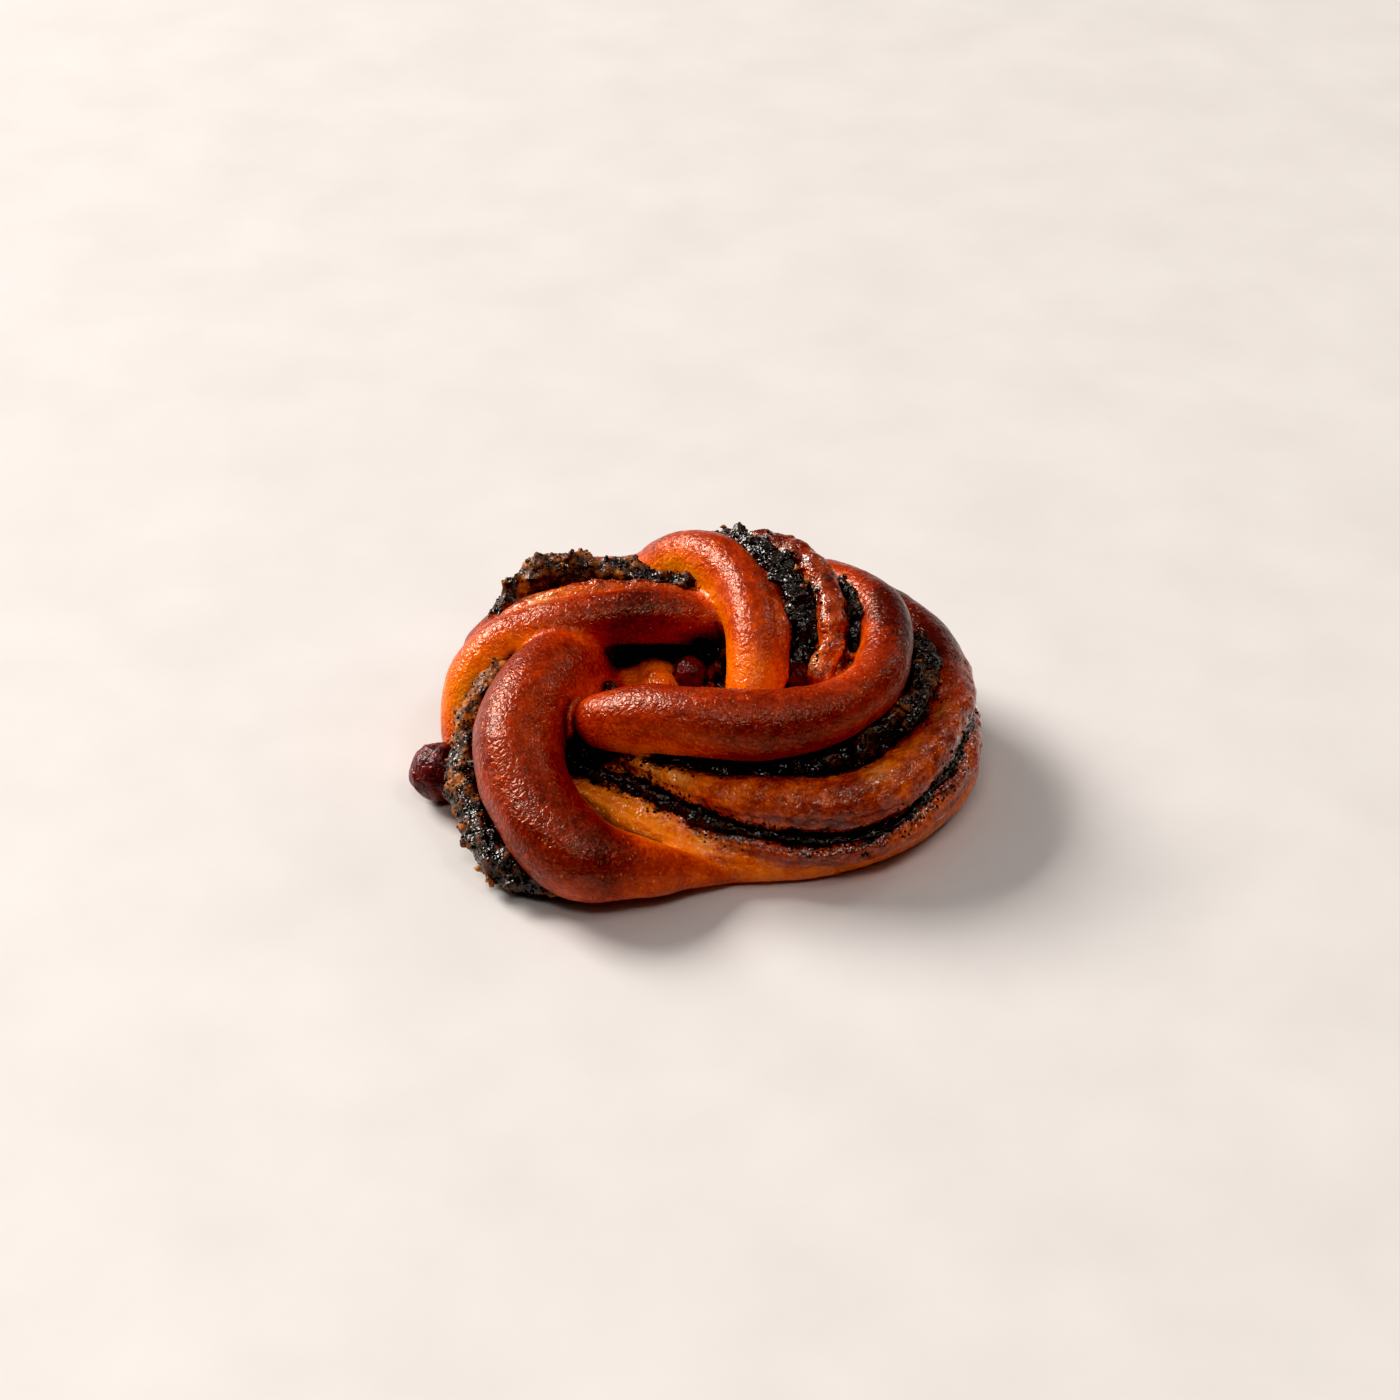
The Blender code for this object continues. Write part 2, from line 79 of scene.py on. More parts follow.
def rim(start, end, height, half, inset=0.0):
    """Spine points round the back of the bun, from one bearing in degrees to another."""
    count = max(2, round(abs(end - start) / 24.0) + 1)
    rows = []
    for bearing in np.radians(np.linspace(start, end, count)):
        x = (RIM_HALF[0] - inset) * math.cos(bearing)
        y = (RIM_HALF[1] - inset) * math.sin(bearing)
        rows.append((x, y, height, half))
    return rows


def strand(spine, out=1.0, inn=1.6, crag=0.0, lumps=0):
    """A strand: rows of x, y, z and half width, how thick it is outwards and inwards against that half
    width, its cragginess in millimetres, and how many lumps of paste lie on it."""
    return dict(spine=spine, out=out, inn=inn, crag=crag, lumps=lumps)


DOUGH = {
    # The four smooth rolls of the knot, in the order in which each passes over the next.
    "left_roll": strand([
        (-29, 12, 20, 6.5), (-32, 3, 24.5, 8.5), (-37, -9, 26, 9.2), (-40.8, -22, 22.5, 8.5),
        (-37.4, -34, 17, 8.7), (-27.4, -45.2, 12, 8.9), (-14.9, -45.6, 9, 6.4), (-6.6, -43.4, 6.4, 4.2),
        (0.5, -41.4, 4.2, 2.3), (5.7, -39.8, 3, 1.3),
    ], inn=1.35),
    "front_roll": strand([
        (-27, -12.6, 21, 4.2), (-21.8, -18.2, 26.2, 6), (-12.4, -22.4, 29.8, 6.8), (-2.5, -25.4, 31, 7),
        (5.6, -26.2, 31, 7.1), (13.7, -26, 31, 7), (21.9, -23.6, 31.2, 6.6), (28.1, -20.2, 32, 6.1),
        (33.4, -14.4, 33, 5.8), (36, -6.5, 34, 5.6), (36.6, 3, 34.4, 5.5), (34.6, 12, 34, 5.5),
        (30, 19.5, 32.6, 5.6), (25, 25, 31, 5.6), (15, 35, 25, 5.6), (3, 43, 16, 5),
    ], inn=1.35),
    "middle_roll": strand([
        (-24, 40, 16, 6), (-16, 35.5, 25, 5.8), (-8, 30, 34.4, 5.8), (-0.6, 24, 38.8, 5.7),
        (5.6, 14.5, 39, 5.6), (8.4, 3.5, 37, 5.6), (8.8, -6.5, 32, 5.8), (8, -15, 24.5, 5.4),
    ]),
    "back_roll": strand([
        (-53, -9.5, 7, 2.6), (-53.6, -1, 12, 4.4), (-51.4, 6, 18.5, 5.8), (-45.2, 9.6, 25, 6),
        (-34, 11, 29.6, 5.7), (-20, 12.2, 31.6, 5.4), (-6, 12.8, 31.2, 5.7), (6, 13.5, 27, 5.4),
    ], inn=1.15),
    # Thinner dough layers of the cut sides.
    "middle_ridge": strand([
        (9.5, 19.5, 38.5, 1.6), (11.5, 14, 39, 2.6), (13.4, 6, 37.2, 3.2), (13.4, -2, 34, 3.4),
        (12.4, -9, 29, 3.2), (11, -14, 24, 2.6),
    ], inn=1.8, crag=0.4),
    "crown_layer": strand([
        (-4, 43, 20, 3.6), (3.5, 38, 30, 3.8), (10, 31, 36.6, 3.7), (15.5, 24.6, 40.2, 3.8),
        (20.6, 17.6, 40.6, 3.7), (24.2, 9.4, 38.8, 3.4), (25.4, 3, 36.6, 3.4), (25.2, -2.6, 33.4, 3.5),
        (23, -6.5, 29.5, 3.3),
    ], inn=2.2, crag=1.1),
    "back_layer_low": strand([
        (-47.5, 12.3, 27.5, 1.5), (-41.1, 15.1, 31.2, 1.9), (-32.5, 16.6, 34, 2),
        (-19.7, 17.4, 35.4, 1.8), (-6, 17.6, 34.8, 1.5), (2, 17, 32, 1.2),
    ], inn=4, crag=0.3),
    "back_layer_high": strand([
        (-48, 22, 12, 4), (-41.5, 29.5, 20, 5), (-33, 33, 25.4, 5), (-23.6, 33, 27.2, 5.1),
        (-13, 34, 26, 5),
    ], inn=1.8, crag=0.4),
    "side_layer_high": strand([
        (-19, -17.5, 17.8, 2), (-14.9, -23.6, 18.7, 2.3), (-6.7, -28, 18, 3.1), (1.5, -31.6, 17.3, 4.2),
        (9.7, -33.4, 16.6, 5.3), (17.8, -34.4, 16.5, 5.8), (26, -34, 16.8, 5.9),
        (32.1, -32.3, 17.5, 5.8), (38.4, -28.8, 18.8, 5.5), (43.8, -23, 20.4, 5.1),
        (48.4, -14.5, 21.6, 4.6), (51.4, -5, 21.8, 4.3), (51, 6, 21.2, 4.4),
    ], inn=2.2, crag=0.5),
    "side_layer_mid": strand([
        (-21, -24, 10.6, 1), (-12.9, -27.4, 10.2, 1.4), (-6.7, -31.1, 9.6, 1.8), (1.6, -35.6, 8.8, 2.2),
        (9.7, -38.6, 8.4, 2.5), (17.8, -40, 8, 2.6), (26, -40, 8.2, 2.5), (32.2, -38.2, 8.8, 2.6),
        (38.5, -34.6, 9.7, 3), (44.9, -28.4, 11.2, 3.4), (49.9, -20.8, 12.7, 3.5), (53, -12.8, 14, 3.4),
        (54, -3, 14.8, 3.4),
    ] + rim(12, 40, 14, 3.2), inn=3, crag=0.5),
    "side_layer_low": strand([
        (-31.7, -21, 11, 4.2), (-23.3, -25.6, 9.6, 4.6), (-14.9, -30.4, 7.6, 4.7),
        (-6.7, -34.4, 5.8, 4.5), (1.6, -37.6, 4.8, 4.1), (9.8, -37.8, 4.3, 3.9), (18, -37.2, 4.2, 3.8),
        (26.3, -35, 4.2, 3.8), (32.6, -32, 4.2, 3.9), (39.1, -27.6, 4.4, 4.1), (45.7, -20.9, 5.2, 4.4),
        (50.3, -13.7, 6.4, 4.9),
    ] + rim(-4, 205, 7.6, 5.4), inn=2),
    # A fold of dough that rises in the pit, beside the cherry.
    "pit_fold": strand([
        (-15.5, 13, 13, 3.5), (-12.6, 8, 18.6, 4.4), (-10.6, 3, 19.4, 4.8), (-9.4, -2.5, 17.6, 4.6),
        (-8.5, -7.5, 14, 4),
    ], crag=0.3),
    # The thick dough under the rolls, open towards the pit.
    "body": strand([
        (-40, 4, 13, 10), (-36, 19, 17, 12), (-22, 28, 20, 12), (-4, 31, 23, 12), (14, 26, 24.5, 11.5),
        (24.5, 12, 23.5, 9.5), (28, -6, 22, 9), (16, -19, 18, 8), (-6, -20, 16, 6),
    ], inn=1),
    # The smooth fold that comes out at the right and runs round the back.
    "rear_roll": strand(
        rim(-6, 165, 20.4, 7.3, inset=3.2) + [(-45, 8, 15, 5.5)],
        inn=1.5,
    ),
}

# Ribbons of poppy seed filling. They run in under the rolls to the middle of the bun.
FILLING = {
    "left": strand([
        (-22, -3, 20, 3), (-30, 6.5, 22, 2.2), (-37, 7, 24.4, 2), (-44, 3.2, 24.2, 2.5),
        (-48.4, -2.4, 21, 3.3), (-51, -10, 16.5, 4.1), (-51.2, -19, 12, 4.9), (-48.6, -29, 8.6, 4.8),
        (-43.8, -38.2, 6.4, 4.8), (-36.4, -44.4, 5, 3.9), (-30, -46.8, 4, 2.4),
    ], inn=2.2, crag=1.2, lumps=22),
    "back": strand([
        (-49.4, 12, 22, 1.6), (-48.4, 16, 23.6, 2.1), (-45.4, 21, 27.6, 2.6), (-41, 24.8, 31.8, 3.4),
        (-34.6, 25.4, 35, 3.6), (-24, 23.2, 35.9, 3.4), (-11, 20.6, 35.4, 2.6), (-4, 18.4, 34.6, 2.4),
        (1, 16, 31, 2.4), (3, 8, 25, 2.6),
    ], inn=2.4, crag=1.1, lumps=20),
    "crown": strand([
        (-10, 44.5, 15, 2.4), (-5, 41.5, 25, 2.6), (0.4, 35.6, 34, 2.6), (5, 28, 40.6, 3),
        (10.8, 20.6, 41.4, 3.8), (15.8, 13.2, 39.8, 4), (19, 5.5, 37, 3.7), (19.4, 0.2, 33.5, 3.3),
        (18.2, -3.5, 28.5, 3.2), (15, -5, 22, 3.4),
    ], inn=2.2, crag=1.2, lumps=20),
    "right": strand([
        (24.5, 20.5, 35.6, 1.4), (28.4, 15.5, 36.6, 2), (29.9, 8.6, 36.4, 2.3), (30.2, 2.4, 34.2, 2.3),
        (28.8, -3, 30.6, 2.2), (24, -5.5, 25, 2.2), (15, -6, 20, 3),
    ], inn=2.6, crag=0.6, lumps=4),
    "side_high": strand([
        (-18, -7, 18, 3), (-24.5, -14, 20, 2.2), (-19, -19.5, 21.2, 2), (-14.9, -21.4, 21.4, 2.1),
        (-6.7, -24.6, 20.9, 2.4), (1.6, -26.4, 20.4, 2.6), (9.8, -27.4, 20.4, 2.8),
        (17.9, -27.8, 21, 3), (26.2, -26.4, 22.2, 3.2), (32.4, -23, 23.7, 3.5),
        (38.4, -16.3, 25.6, 3.9), (43.4, -7, 26.8, 4), (44.6, 4, 26.4, 3.7), (40.4, 15, 25.6, 2.8),
        (31, 28, 25, 2.8), (17, 38, 21, 2.6), (2, 42.5, 13, 2.4),
    ], inn=2.6, crag=1, lumps=18),
    "side_low": strand([
        (-18, -7, 17, 2.4), (-28.5, -20.4, 16, 1.6), (-21.2, -23.2, 15.3, 1.9),
        (-13.9, -26.6, 14.1, 2.4), (-6.7, -30.8, 12.8, 2.5), (1.5, -35, 11.8, 2.2),
        (9.7, -36.9, 11.4, 1.7), (17.8, -39, 11.2, 1.5), (25.9, -39.4, 11.3, 1.2), (32.1, -38.4, 12, 1),
        (38.3, -35.2, 13.2, 1), (42.6, -30.7, 14.6, 1.4), (47.1, -24, 16.6, 2),
        (50.6, -16.6, 17.8, 2.2), (52.6, -7, 18.4, 2.1),
    ] + rim(6, 150, 15, 1.7, inset=-2.6), out=1.2, inn=5, crag=0.5, lumps=14),
    "middle": strand([
        (-24, -8, 16, 4), (-10, -2, 15, 5), (2, 3, 16.4, 6.4), (15, -6, 17, 4.6),
    ], inn=1, crag=0.8, lumps=6),
}

# Each cherry: its middle and its radius.
CHERRIES = {
    "cherry_side": ((-57.8, -9.8, 6.6), 6.6),
    "cherry_pit": ((-4.6, 2.8, 23.0), 3.9),
    "cherry_fold": ((18.0, -4.6, 27.2), 4.4),
}


# ---------------------------------------------------------------- shaping


def smooth_rows(rows, step):
    """Even rows along a smooth curve through the given rows."""
    rows = np.array(rows, dtype=float)
    chord = np.sqrt(np.linalg.norm(np.diff(rows[:, :3], axis=0), axis=1))
    knots = np.concatenate([[0.0], np.cumsum(chord)])
    slope = np.gradient(rows, knots, axis=0)
    fine = []
    for i in range(len(rows) - 1):
        span = knots[i + 1] - knots[i]
        t = np.linspace(0, 1, 24, endpoint=False)[:, None]
        fine.append(
            (2 * t**3 - 3 * t**2 + 1) * rows[i]
            + (t**3 - 2 * t**2 + t) * span * slope[i]
            + (3 * t**2 - 2 * t**3) * rows[i + 1]
            + (t**3 - t**2) * span * slope[i + 1]
        )
    fine = np.vstack(fine + [rows[-1:]])
    length = np.concatenate([[0.0], np.cumsum(np.linalg.norm(np.diff(fine[:, :3], axis=0), axis=1))])
    even = np.linspace(0, length[-1], max(4, round(length[-1] / step) + 1))
    return np.column_stack([np.interp(even, length, fine[:, k]) for k in range(fine.shape[1])])


def unit(rows):
    return rows / np.linalg.norm(rows, axis=-1, keepdims=True)


def fractal(points, wave, octaves=1):
    """Smooth noise, about -1 to 1, at each point, with features about this many millimetres wide."""
    total = np.zeros(len(points))
    for k in range(octaves):
        scale = 2.0**k / wave
        total += 0.5**k * np.array([noise.noise(Vector(p)) for p in points * scale + 17.0 * k])
    return total


def lumped(points, wave):
    """Rounded lumps about this wide, 1 in their middles and 0 or less in the cracks between them."""
    return 1.0 - 1.6 * np.array([noise.voronoi(Vector(p))[0][0] for p in points / wave])


def bell(points, middle, radius):
    """1 at the middle, and about a third at this radius from it."""
    far = np.linalg.norm(points - np.array(middle), axis=1)
    return np.exp(-((far / radius) ** 2))


def ramp(values, low, high):
    """0 below low, 1 above high, and smooth between."""
    t = np.clip((values - low) / (high - low), 0, 1)
    return t * t * (3 - 2 * t)


class Strand:
    """One strand's centre line, directions and half thicknesses, for building and for measuring."""

    def __init__(self, name, spec, step):
        path = smooth_rows(spec["spine"], step)
        self.name = name
        self.spec = spec
        self.centre = path[:, :3]
        self.along = unit(np.gradient(self.centre, axis=0))
        away = self.centre - HUB
        self.away = unit(away - (away * self.along).sum(1)[:, None] * self.along)
        self.side = np.cross(self.along, self.away)
        self.half = path[:, 3] * (1 + UNEVEN * fractal(self.centre, UNEVEN_WAVE))

    def loft(self, around):
        """Points and faces of the closed strand."""
        caps = [math.radians(a) for a in (20, 40, 60, 78)]
        reach = self.half[[0, -1]] * CAP_SHARE
        rings = [(self.centre[i], i, 1.0) for i in range(len(self.centre))]
        for turn in caps:
            share, ahead = math.cos(turn), math.sin(turn)
            rings.insert(0, (self.centre[0] - self.along[0] * reach[0] * ahead, 0, share))
            rings.append((self.centre[-1] + self.along[-1] * reach[1] * ahead, -1, share))
        angle = np.linspace(0, 2 * math.pi, around, endpoint=False)
        depth = np.where(np.sin(angle) > 0, self.spec["out"], self.spec["inn"])
        points = []
        for middle, i, share in rings:
            spoke = (
                np.outer(np.cos(angle) * self.half[i] * share, self.side[i])
                + np.outer(np.sin(angle) * self.half[i] * share * depth, self.away[i])
            )
            place = middle + spoke
            if self.spec["crag"]:
                place = place + unit(spoke) * self.spec["crag"] * fractal(place, CRAG_WAVE)[:, None]
            points.append(place)
        points = np.vstack(points + [self.centre[0] - self.along[0] * reach[0]]
                           + [self.centre[-1] + self.along[-1] * reach[1]])
        rows = len(rings)
        faces = []
        for r in range(rows - 1):
            for j in range(around):
                k = (j + 1) % around
                faces.append((r * around + j, (r + 1) * around + j, (r + 1) * around + k, r * around + k))
        first, last = rows * around, rows * around + 1
        for j in range(around):
            k = (j + 1) % around
            faces.append((first, j, k))
            faces.append((last, (rows - 1) * around + k, (rows - 1) * around + j))
        return points, faces


class Field:
    """How far points lie from a set of strands, by whose section each point is nearest."""

    def __init__(self, strands):
        self.strands = strands
        self.spans = []
        start = 0
        for s in strands:
            self.spans.append((start, start + len(s.centre)))
            start += len(s.centre)
        self.centre = np.vstack([s.centre for s in strands]).astype(np.float32)

    def depths(self, points):
        """For each strand, the distance of each point outside its skin (negative inside), and the
        nearest row of its centre line."""
        points = points.astype(np.float32)
        out = np.full((len(self.strands), len(points)), 1e3, np.float32)
        row = np.zeros((len(self.strands), len(points)), np.int32)
        square = (self.centre**2).sum(1)
        for a in range(0, len(points), 20000):
            p = points[a:a + 20000]
            far = square[None, :] - 2 * p @ self.centre.T
            for n, (s, (i, j)) in enumerate(zip(self.strands, self.spans)):
                near = far[:, i:j].argmin(1)
                away = p - s.centre[near]
                across = (away * s.side[near]).sum(1)
                up = (away * s.away[near]).sum(1)
                ahead = (away * s.along[near]).sum(1)
                reach = np.where(up > 0, s.spec["out"], s.spec["inn"])
                share = np.sqrt((across**2) + (up / reach) ** 2 + ahead**2) / s.half[near]
                out[n, a:a + 20000] = (share - 1) * s.half[near]
                row[n, a:a + 20000] = near
        return out, row


def mesh_object(name, points, faces):
    """An object from points in millimetres."""
    mesh = bpy.data.meshes.new(name)
    mesh.from_pydata((np.asarray(points) * MM).tolist(), [], faces)
    mesh.validate()
    made = bpy.data.objects.new(name, mesh)
    bpy.context.scene.collection.objects.link(made)
    return made


def read_points(obj):
    flat = np.empty(len(obj.data.vertices) * 3, np.float32)
    obj.data.vertices.foreach_get("co", flat)
    return flat.reshape(-1, 3).astype(float) / MM


def read_normals(obj):
    flat = np.empty(len(obj.data.vertices) * 3, np.float32)
    obj.data.vertex_normals.foreach_get("vector", flat)
    return flat.reshape(-1, 3).astype(float)


def write_points(obj, points):
    obj.data.vertices.foreach_set("co", (points * MM).astype(np.float32).ravel())
    obj.data.update()


def write_value(obj, name, values):
    attribute = obj.data.attributes.new(name, "FLOAT", "POINT")
    attribute.data.foreach_set("value", np.asarray(values, np.float32))


def join_lofts(name, lofts):
    points, faces, start = [], [], 0
    for place, rows in lofts:
        points.append(place)
        faces += [tuple(i + start for i in face) for face in rows]
        start += len(place)
    return mesh_object(name, np.vstack(points), faces)


def melt(obj, cell, smooth):
    """Unite overlapping closed forms in one skin of small cells, and soften it."""
    remesh = obj.modifiers.new("melt", "REMESH")
    remesh.mode = "VOXEL"
    remesh.voxel_size = cell * MM
    soften = obj.modifiers.new("soften", "SMOOTH")
    soften.factor = 0.5
    soften.iterations = smooth
    graph = bpy.context.evaluated_depsgraph_get()
    mesh = bpy.data.meshes.new_from_object(obj.evaluated_get(graph))
    obj.modifiers.clear()
    obj.data = mesh
    obj.data.shade_smooth()


def within(points):
    """Points kept inside the solids' box."""
    low, high = np.array(CAD_BOX[0]) / MM, np.array(CAD_BOX[1]) / MM
    return np.clip(points, low, high)


def ball(middle, half, segments=64):
    """Points and faces of an ellipsoid."""
    bm = bmesh.new()
    bmesh.ops.create_uvsphere(bm, u_segments=segments, v_segments=segments // 2, radius=1.0)
    points = np.array([v.co for v in bm.verts]) * half + middle
    faces = [tuple(v.index for v in f.verts) for f in bm.faces]
    bm.free()
    return points, faces


def icosphere(level):
    """Points and faces of a sphere of radius 1, to be shaped into a seed, a crumb or a cherry."""
    bm = bmesh.new()
    bmesh.ops.create_icosphere(bm, subdivisions=level, radius=1.0)
    points = np.array([v.co for v in bm.verts])
    rows = np.array([[v.index for v in f.verts] for f in bm.faces])
    bm.free()
    return points, rows


def cut_floor(obj):
    """Cut off what lies under the flat base, and close the cut."""
    bm = bmesh.new()
    bm.from_mesh(obj.data)
    geometry = bm.verts[:] + bm.edges[:] + bm.faces[:]
    bmesh.ops.bisect_plane(bm, geom=geometry, plane_co=(0, 0, 0), plane_no=(0, 0, 1), clear_inner=True)
    open_edges = [e for e in bm.edges if e.is_boundary]
    bmesh.ops.holes_fill(bm, edges=open_edges, sides=0)
    bm.to_mesh(obj.data)
    bm.free()
    obj.data.shade_smooth()


# ---------------------------------------------------------------- crust

DOUGH_STEP = 1.2
DOUGH_CELL = 0.72

# How far each strand is baked where it faces outwards, from 0 for pale gold to 1 for dark brown.
BAKED = {
    "left_roll": 0.64, "front_roll": 0.64, "middle_roll": 0.55, "back_roll": 0.60,
    "middle_ridge": 0.58, "crown_layer": 0.56, "back_layer_low": 0.40, "back_layer_high": 0.62,
    "side_layer_high": 0.44, "side_layer_mid": 0.42, "side_layer_low": 0.17, "pit_fold": 0.26,
    "body": 0.55, "rear_roll": 0.66,
}

# Over about how many millimetres the browning of one strand passes into the next.
BLEND = 0.8

# Paler and browner places of each strand: (x, y, z), radius, and the change in browning, which on the lower
# and right-facing flanks is partly painted shade.
BAKED_AND_SHADED_PLACES = {
    "left_roll": [
        ((-28, -14, 26), 6, 0.16), ((-28, 4, 28), 5, -0.30), ((-24, -6, 24), 5, -0.25),
        ((-28, -53, 7), 6, -0.35), ((-15, -51.5, 5.5), 6, -0.40), ((-3, -46.5, 4.5), 6, -0.35),
        ((-40, -41, 11), 6, -0.18), ((-22, -44, 19), 6, 0.12), ((-30, -38, 22), 5, 0.08),
        ((-14, -43, 13), 7, -0.42), ((-24, -48, 13), 9, 0.28), ((-34, -40, 20), 7, 0.16),
    ],
    "front_roll": [
        ((-19, -25, 25), 6.5, -0.45), ((-9, -30, 26.5), 6.5, -0.35), ((0, -33, 26.5), 6, -0.05),
        ((14, -32, 27), 10, 0.20), ((-22, -18, 30), 4, -0.25), ((26, -14, 34.5), 5.5, -0.45),
        ((31, -3, 35.5), 5.5, -0.45), ((30, 8, 36), 5.5, -0.40), ((26, 16.5, 34.5), 5, -0.30),
        ((39, 4, 38), 12, 0.50),
    ],
    "middle_roll": [
        ((-12, 25, 36), 7, -0.28), ((-7, 21, 36.5), 6, -0.34), ((-1, 14, 34.8), 6, -0.40),
        ((2.5, 4, 34.5), 6, -0.35), ((3.5, -6, 31.5), 7, -0.40), ((10, -12, 32), 7, -0.35),
        ((-10, 31, 39), 5, 0.12),
    ],
    "back_roll": [
        ((-55, 2, 16), 9, -0.35), ((-49, 3, 20), 8, -0.50), ((-40, 5.5, 27.5), 6, -0.45),
        ((-52, 8, 24), 6, -0.18), ((-20, 7, 30), 8, 0.14), ((-14, 12, 36), 9, 0.22),
    ],
    "crown_layer": [
        ((24.5, -3, 32.5), 5, -0.25), ((16, 22, 42), 7, 0.15),
    ],
    "side_layer_high": [
        ((-8, -29.5, 19), 6, -0.25), ((36, -30, 22), 5, -0.12), ((24, -38, 17), 8, 0.16),
        ((20, -36, 22), 5, -0.08), ((47, -17, 24), 6, 0.10), ((50, -5, 25), 7, 0.25),
        ((2, -33, 20), 6, -0.14),
    ],
    "side_layer_mid": [
        ((10, -41, 9), 5, 0.08), ((20, -42.5, 8), 6, 0.12), ((29, -41, 8.5), 5, 0.08),
        ((41, -36, 8), 7, -0.20),
    ],
    "side_layer_low": [
        ((5, 50, 7), 34, 0.42), ((-45, 28, 7), 26, 0.36), ((52, 20, 7), 24, 0.18),
        ((-50, 6, 7), 12, 0.22), ((-24, -27, 13), 7, -0.18), ((-14, -34, 10), 5, -0.30),
        ((-6, -38, 8), 5, -0.15), ((2, -41, 6), 5, 0.05), ((-14, -36, 9), 7, -0.30),
        ((-26, -28, 13), 5, -0.12),
    ],
    "rear_roll": [
        ((48, 12, 24), 16, 0.40),
    ],
}

# How torn each strand's face is, from 0 for smooth crust to 1 for a rough cut side.
TORN = {
    "middle_ridge": 0.4, "crown_layer": 1.0, "back_layer_low": 0.9, "back_layer_high": 0.4,
    "side_layer_high": 1.0, "side_layer_mid": 1.0, "side_layer_low": 0.5, "pit_fold": 0.6,
}

# Thin dark grooves along the cut layers: angles round the strand from its outward face, in radians.
GROOVES = {
    "side_layer_high": (0.62, 0.80), "side_layer_mid": (0.45,), "side_layer_low": (-0.80, -0.25),
    "back_layer_low": (0.2,), "crown_layer": (-0.5, 0.3),
}
GROOVE_WIDTH = 0.5
GROOVE_DEPTH = 0.45

# How far from the paste a torn edge is brown and grainy, and the size of its grains.
EDGE_BROWN = 1.6
EDGE_REACH = 2.6
EDGE_GRAIN = 1.7

# How open a place is to the sky is felt at these distances above it, with these weights.
SKY_REACHES = ((1.5, 0.15), (4.0, 0.3), (8.0, 0.3), (14.0, 0.25))

# Hollows under the rolls that are painted black, for their shade and the paste in them: middle and radius.
SHADED_HOLLOWS = [
    ((-27.5, -17.5, 15.5), 6), ((-18.5, 13, 20), 3.6), ((-10, 15.5, 20.5), 5.5), ((-1, 8.5, 27), 4.5),
]

# Pale torn crumb: middle, radius and strength.
PALE_PLACES = [
    ((33, -31.5, 23.5), 3.2, 0.45), ((39, -25, 26.5), 3, 0.35), ((47, -14, 26.5), 2.6, 0.30),
    ((-19, -22, 20), 4.5, 0.55), ((-13, -26.5, 19.5), 4.5, 1), ((-6, -29.5, 20), 3.5, 0.7),
    ((-20, -27, 12.5), 4, 0.35), ((-2, -38, 10), 2.6, 0.5), ((3, -40, 9.6), 2.2, 0.4),
    ((-54, -4, 19), 3, 0.5), ((-36, 15, 33.5), 3, 0.4), ((21, -6, 33), 3, 0.3),
]


def strand_places(strands, points, normals, owner, nearest):
    """Where each point lies on its own strand: how far its face turns outwards, how far along and how
    far round it is, and the strand's half thickness there."""
    outward, run, turn, half = np.zeros((4, len(points)))
    for n, strand_here in enumerate(strands):
        mine = owner == n
        i = nearest[mine]
        away, side = strand_here.away[i], strand_here.side[i]
        off = points[mine] - strand_here.centre[i]
        half[mine] = strand_here.half[i]
        outward[mine] = (normals[mine] * away).sum(1)
        run[mine] = i * DOUGH_STEP + (off * strand_here.along[i]).sum(1)
        turn[mine] = np.arctan2((off * side).sum(1), (off * away).sum(1)) * half[mine]
    return outward, run, turn, half


def groove_share(strands, owner, run, turn, half):
    """1 in the middle of each groove, which wanders and comes and goes, and 0 off it."""
    groove = np.zeros(len(owner))
    wander = 0.5 * fractal(np.column_stack([run / 9.0, owner * 7.0, run * 0.0]), 1.0)
    for n, strand_here in enumerate(strands):
        for angle in GROOVES.get(strand_here.name, ()):
            across = (turn - angle * half - wander) / GROOVE_WIDTH
            here = fractal(np.column_stack([run / 11.0, run * 0.0 + angle * 9.0, owner * 5.0]), 1.0)
            groove += (owner == n) * np.exp(-(across**2)) * ramp(here, -0.35, 0.05)
    return np.clip(groove, 0, 1)


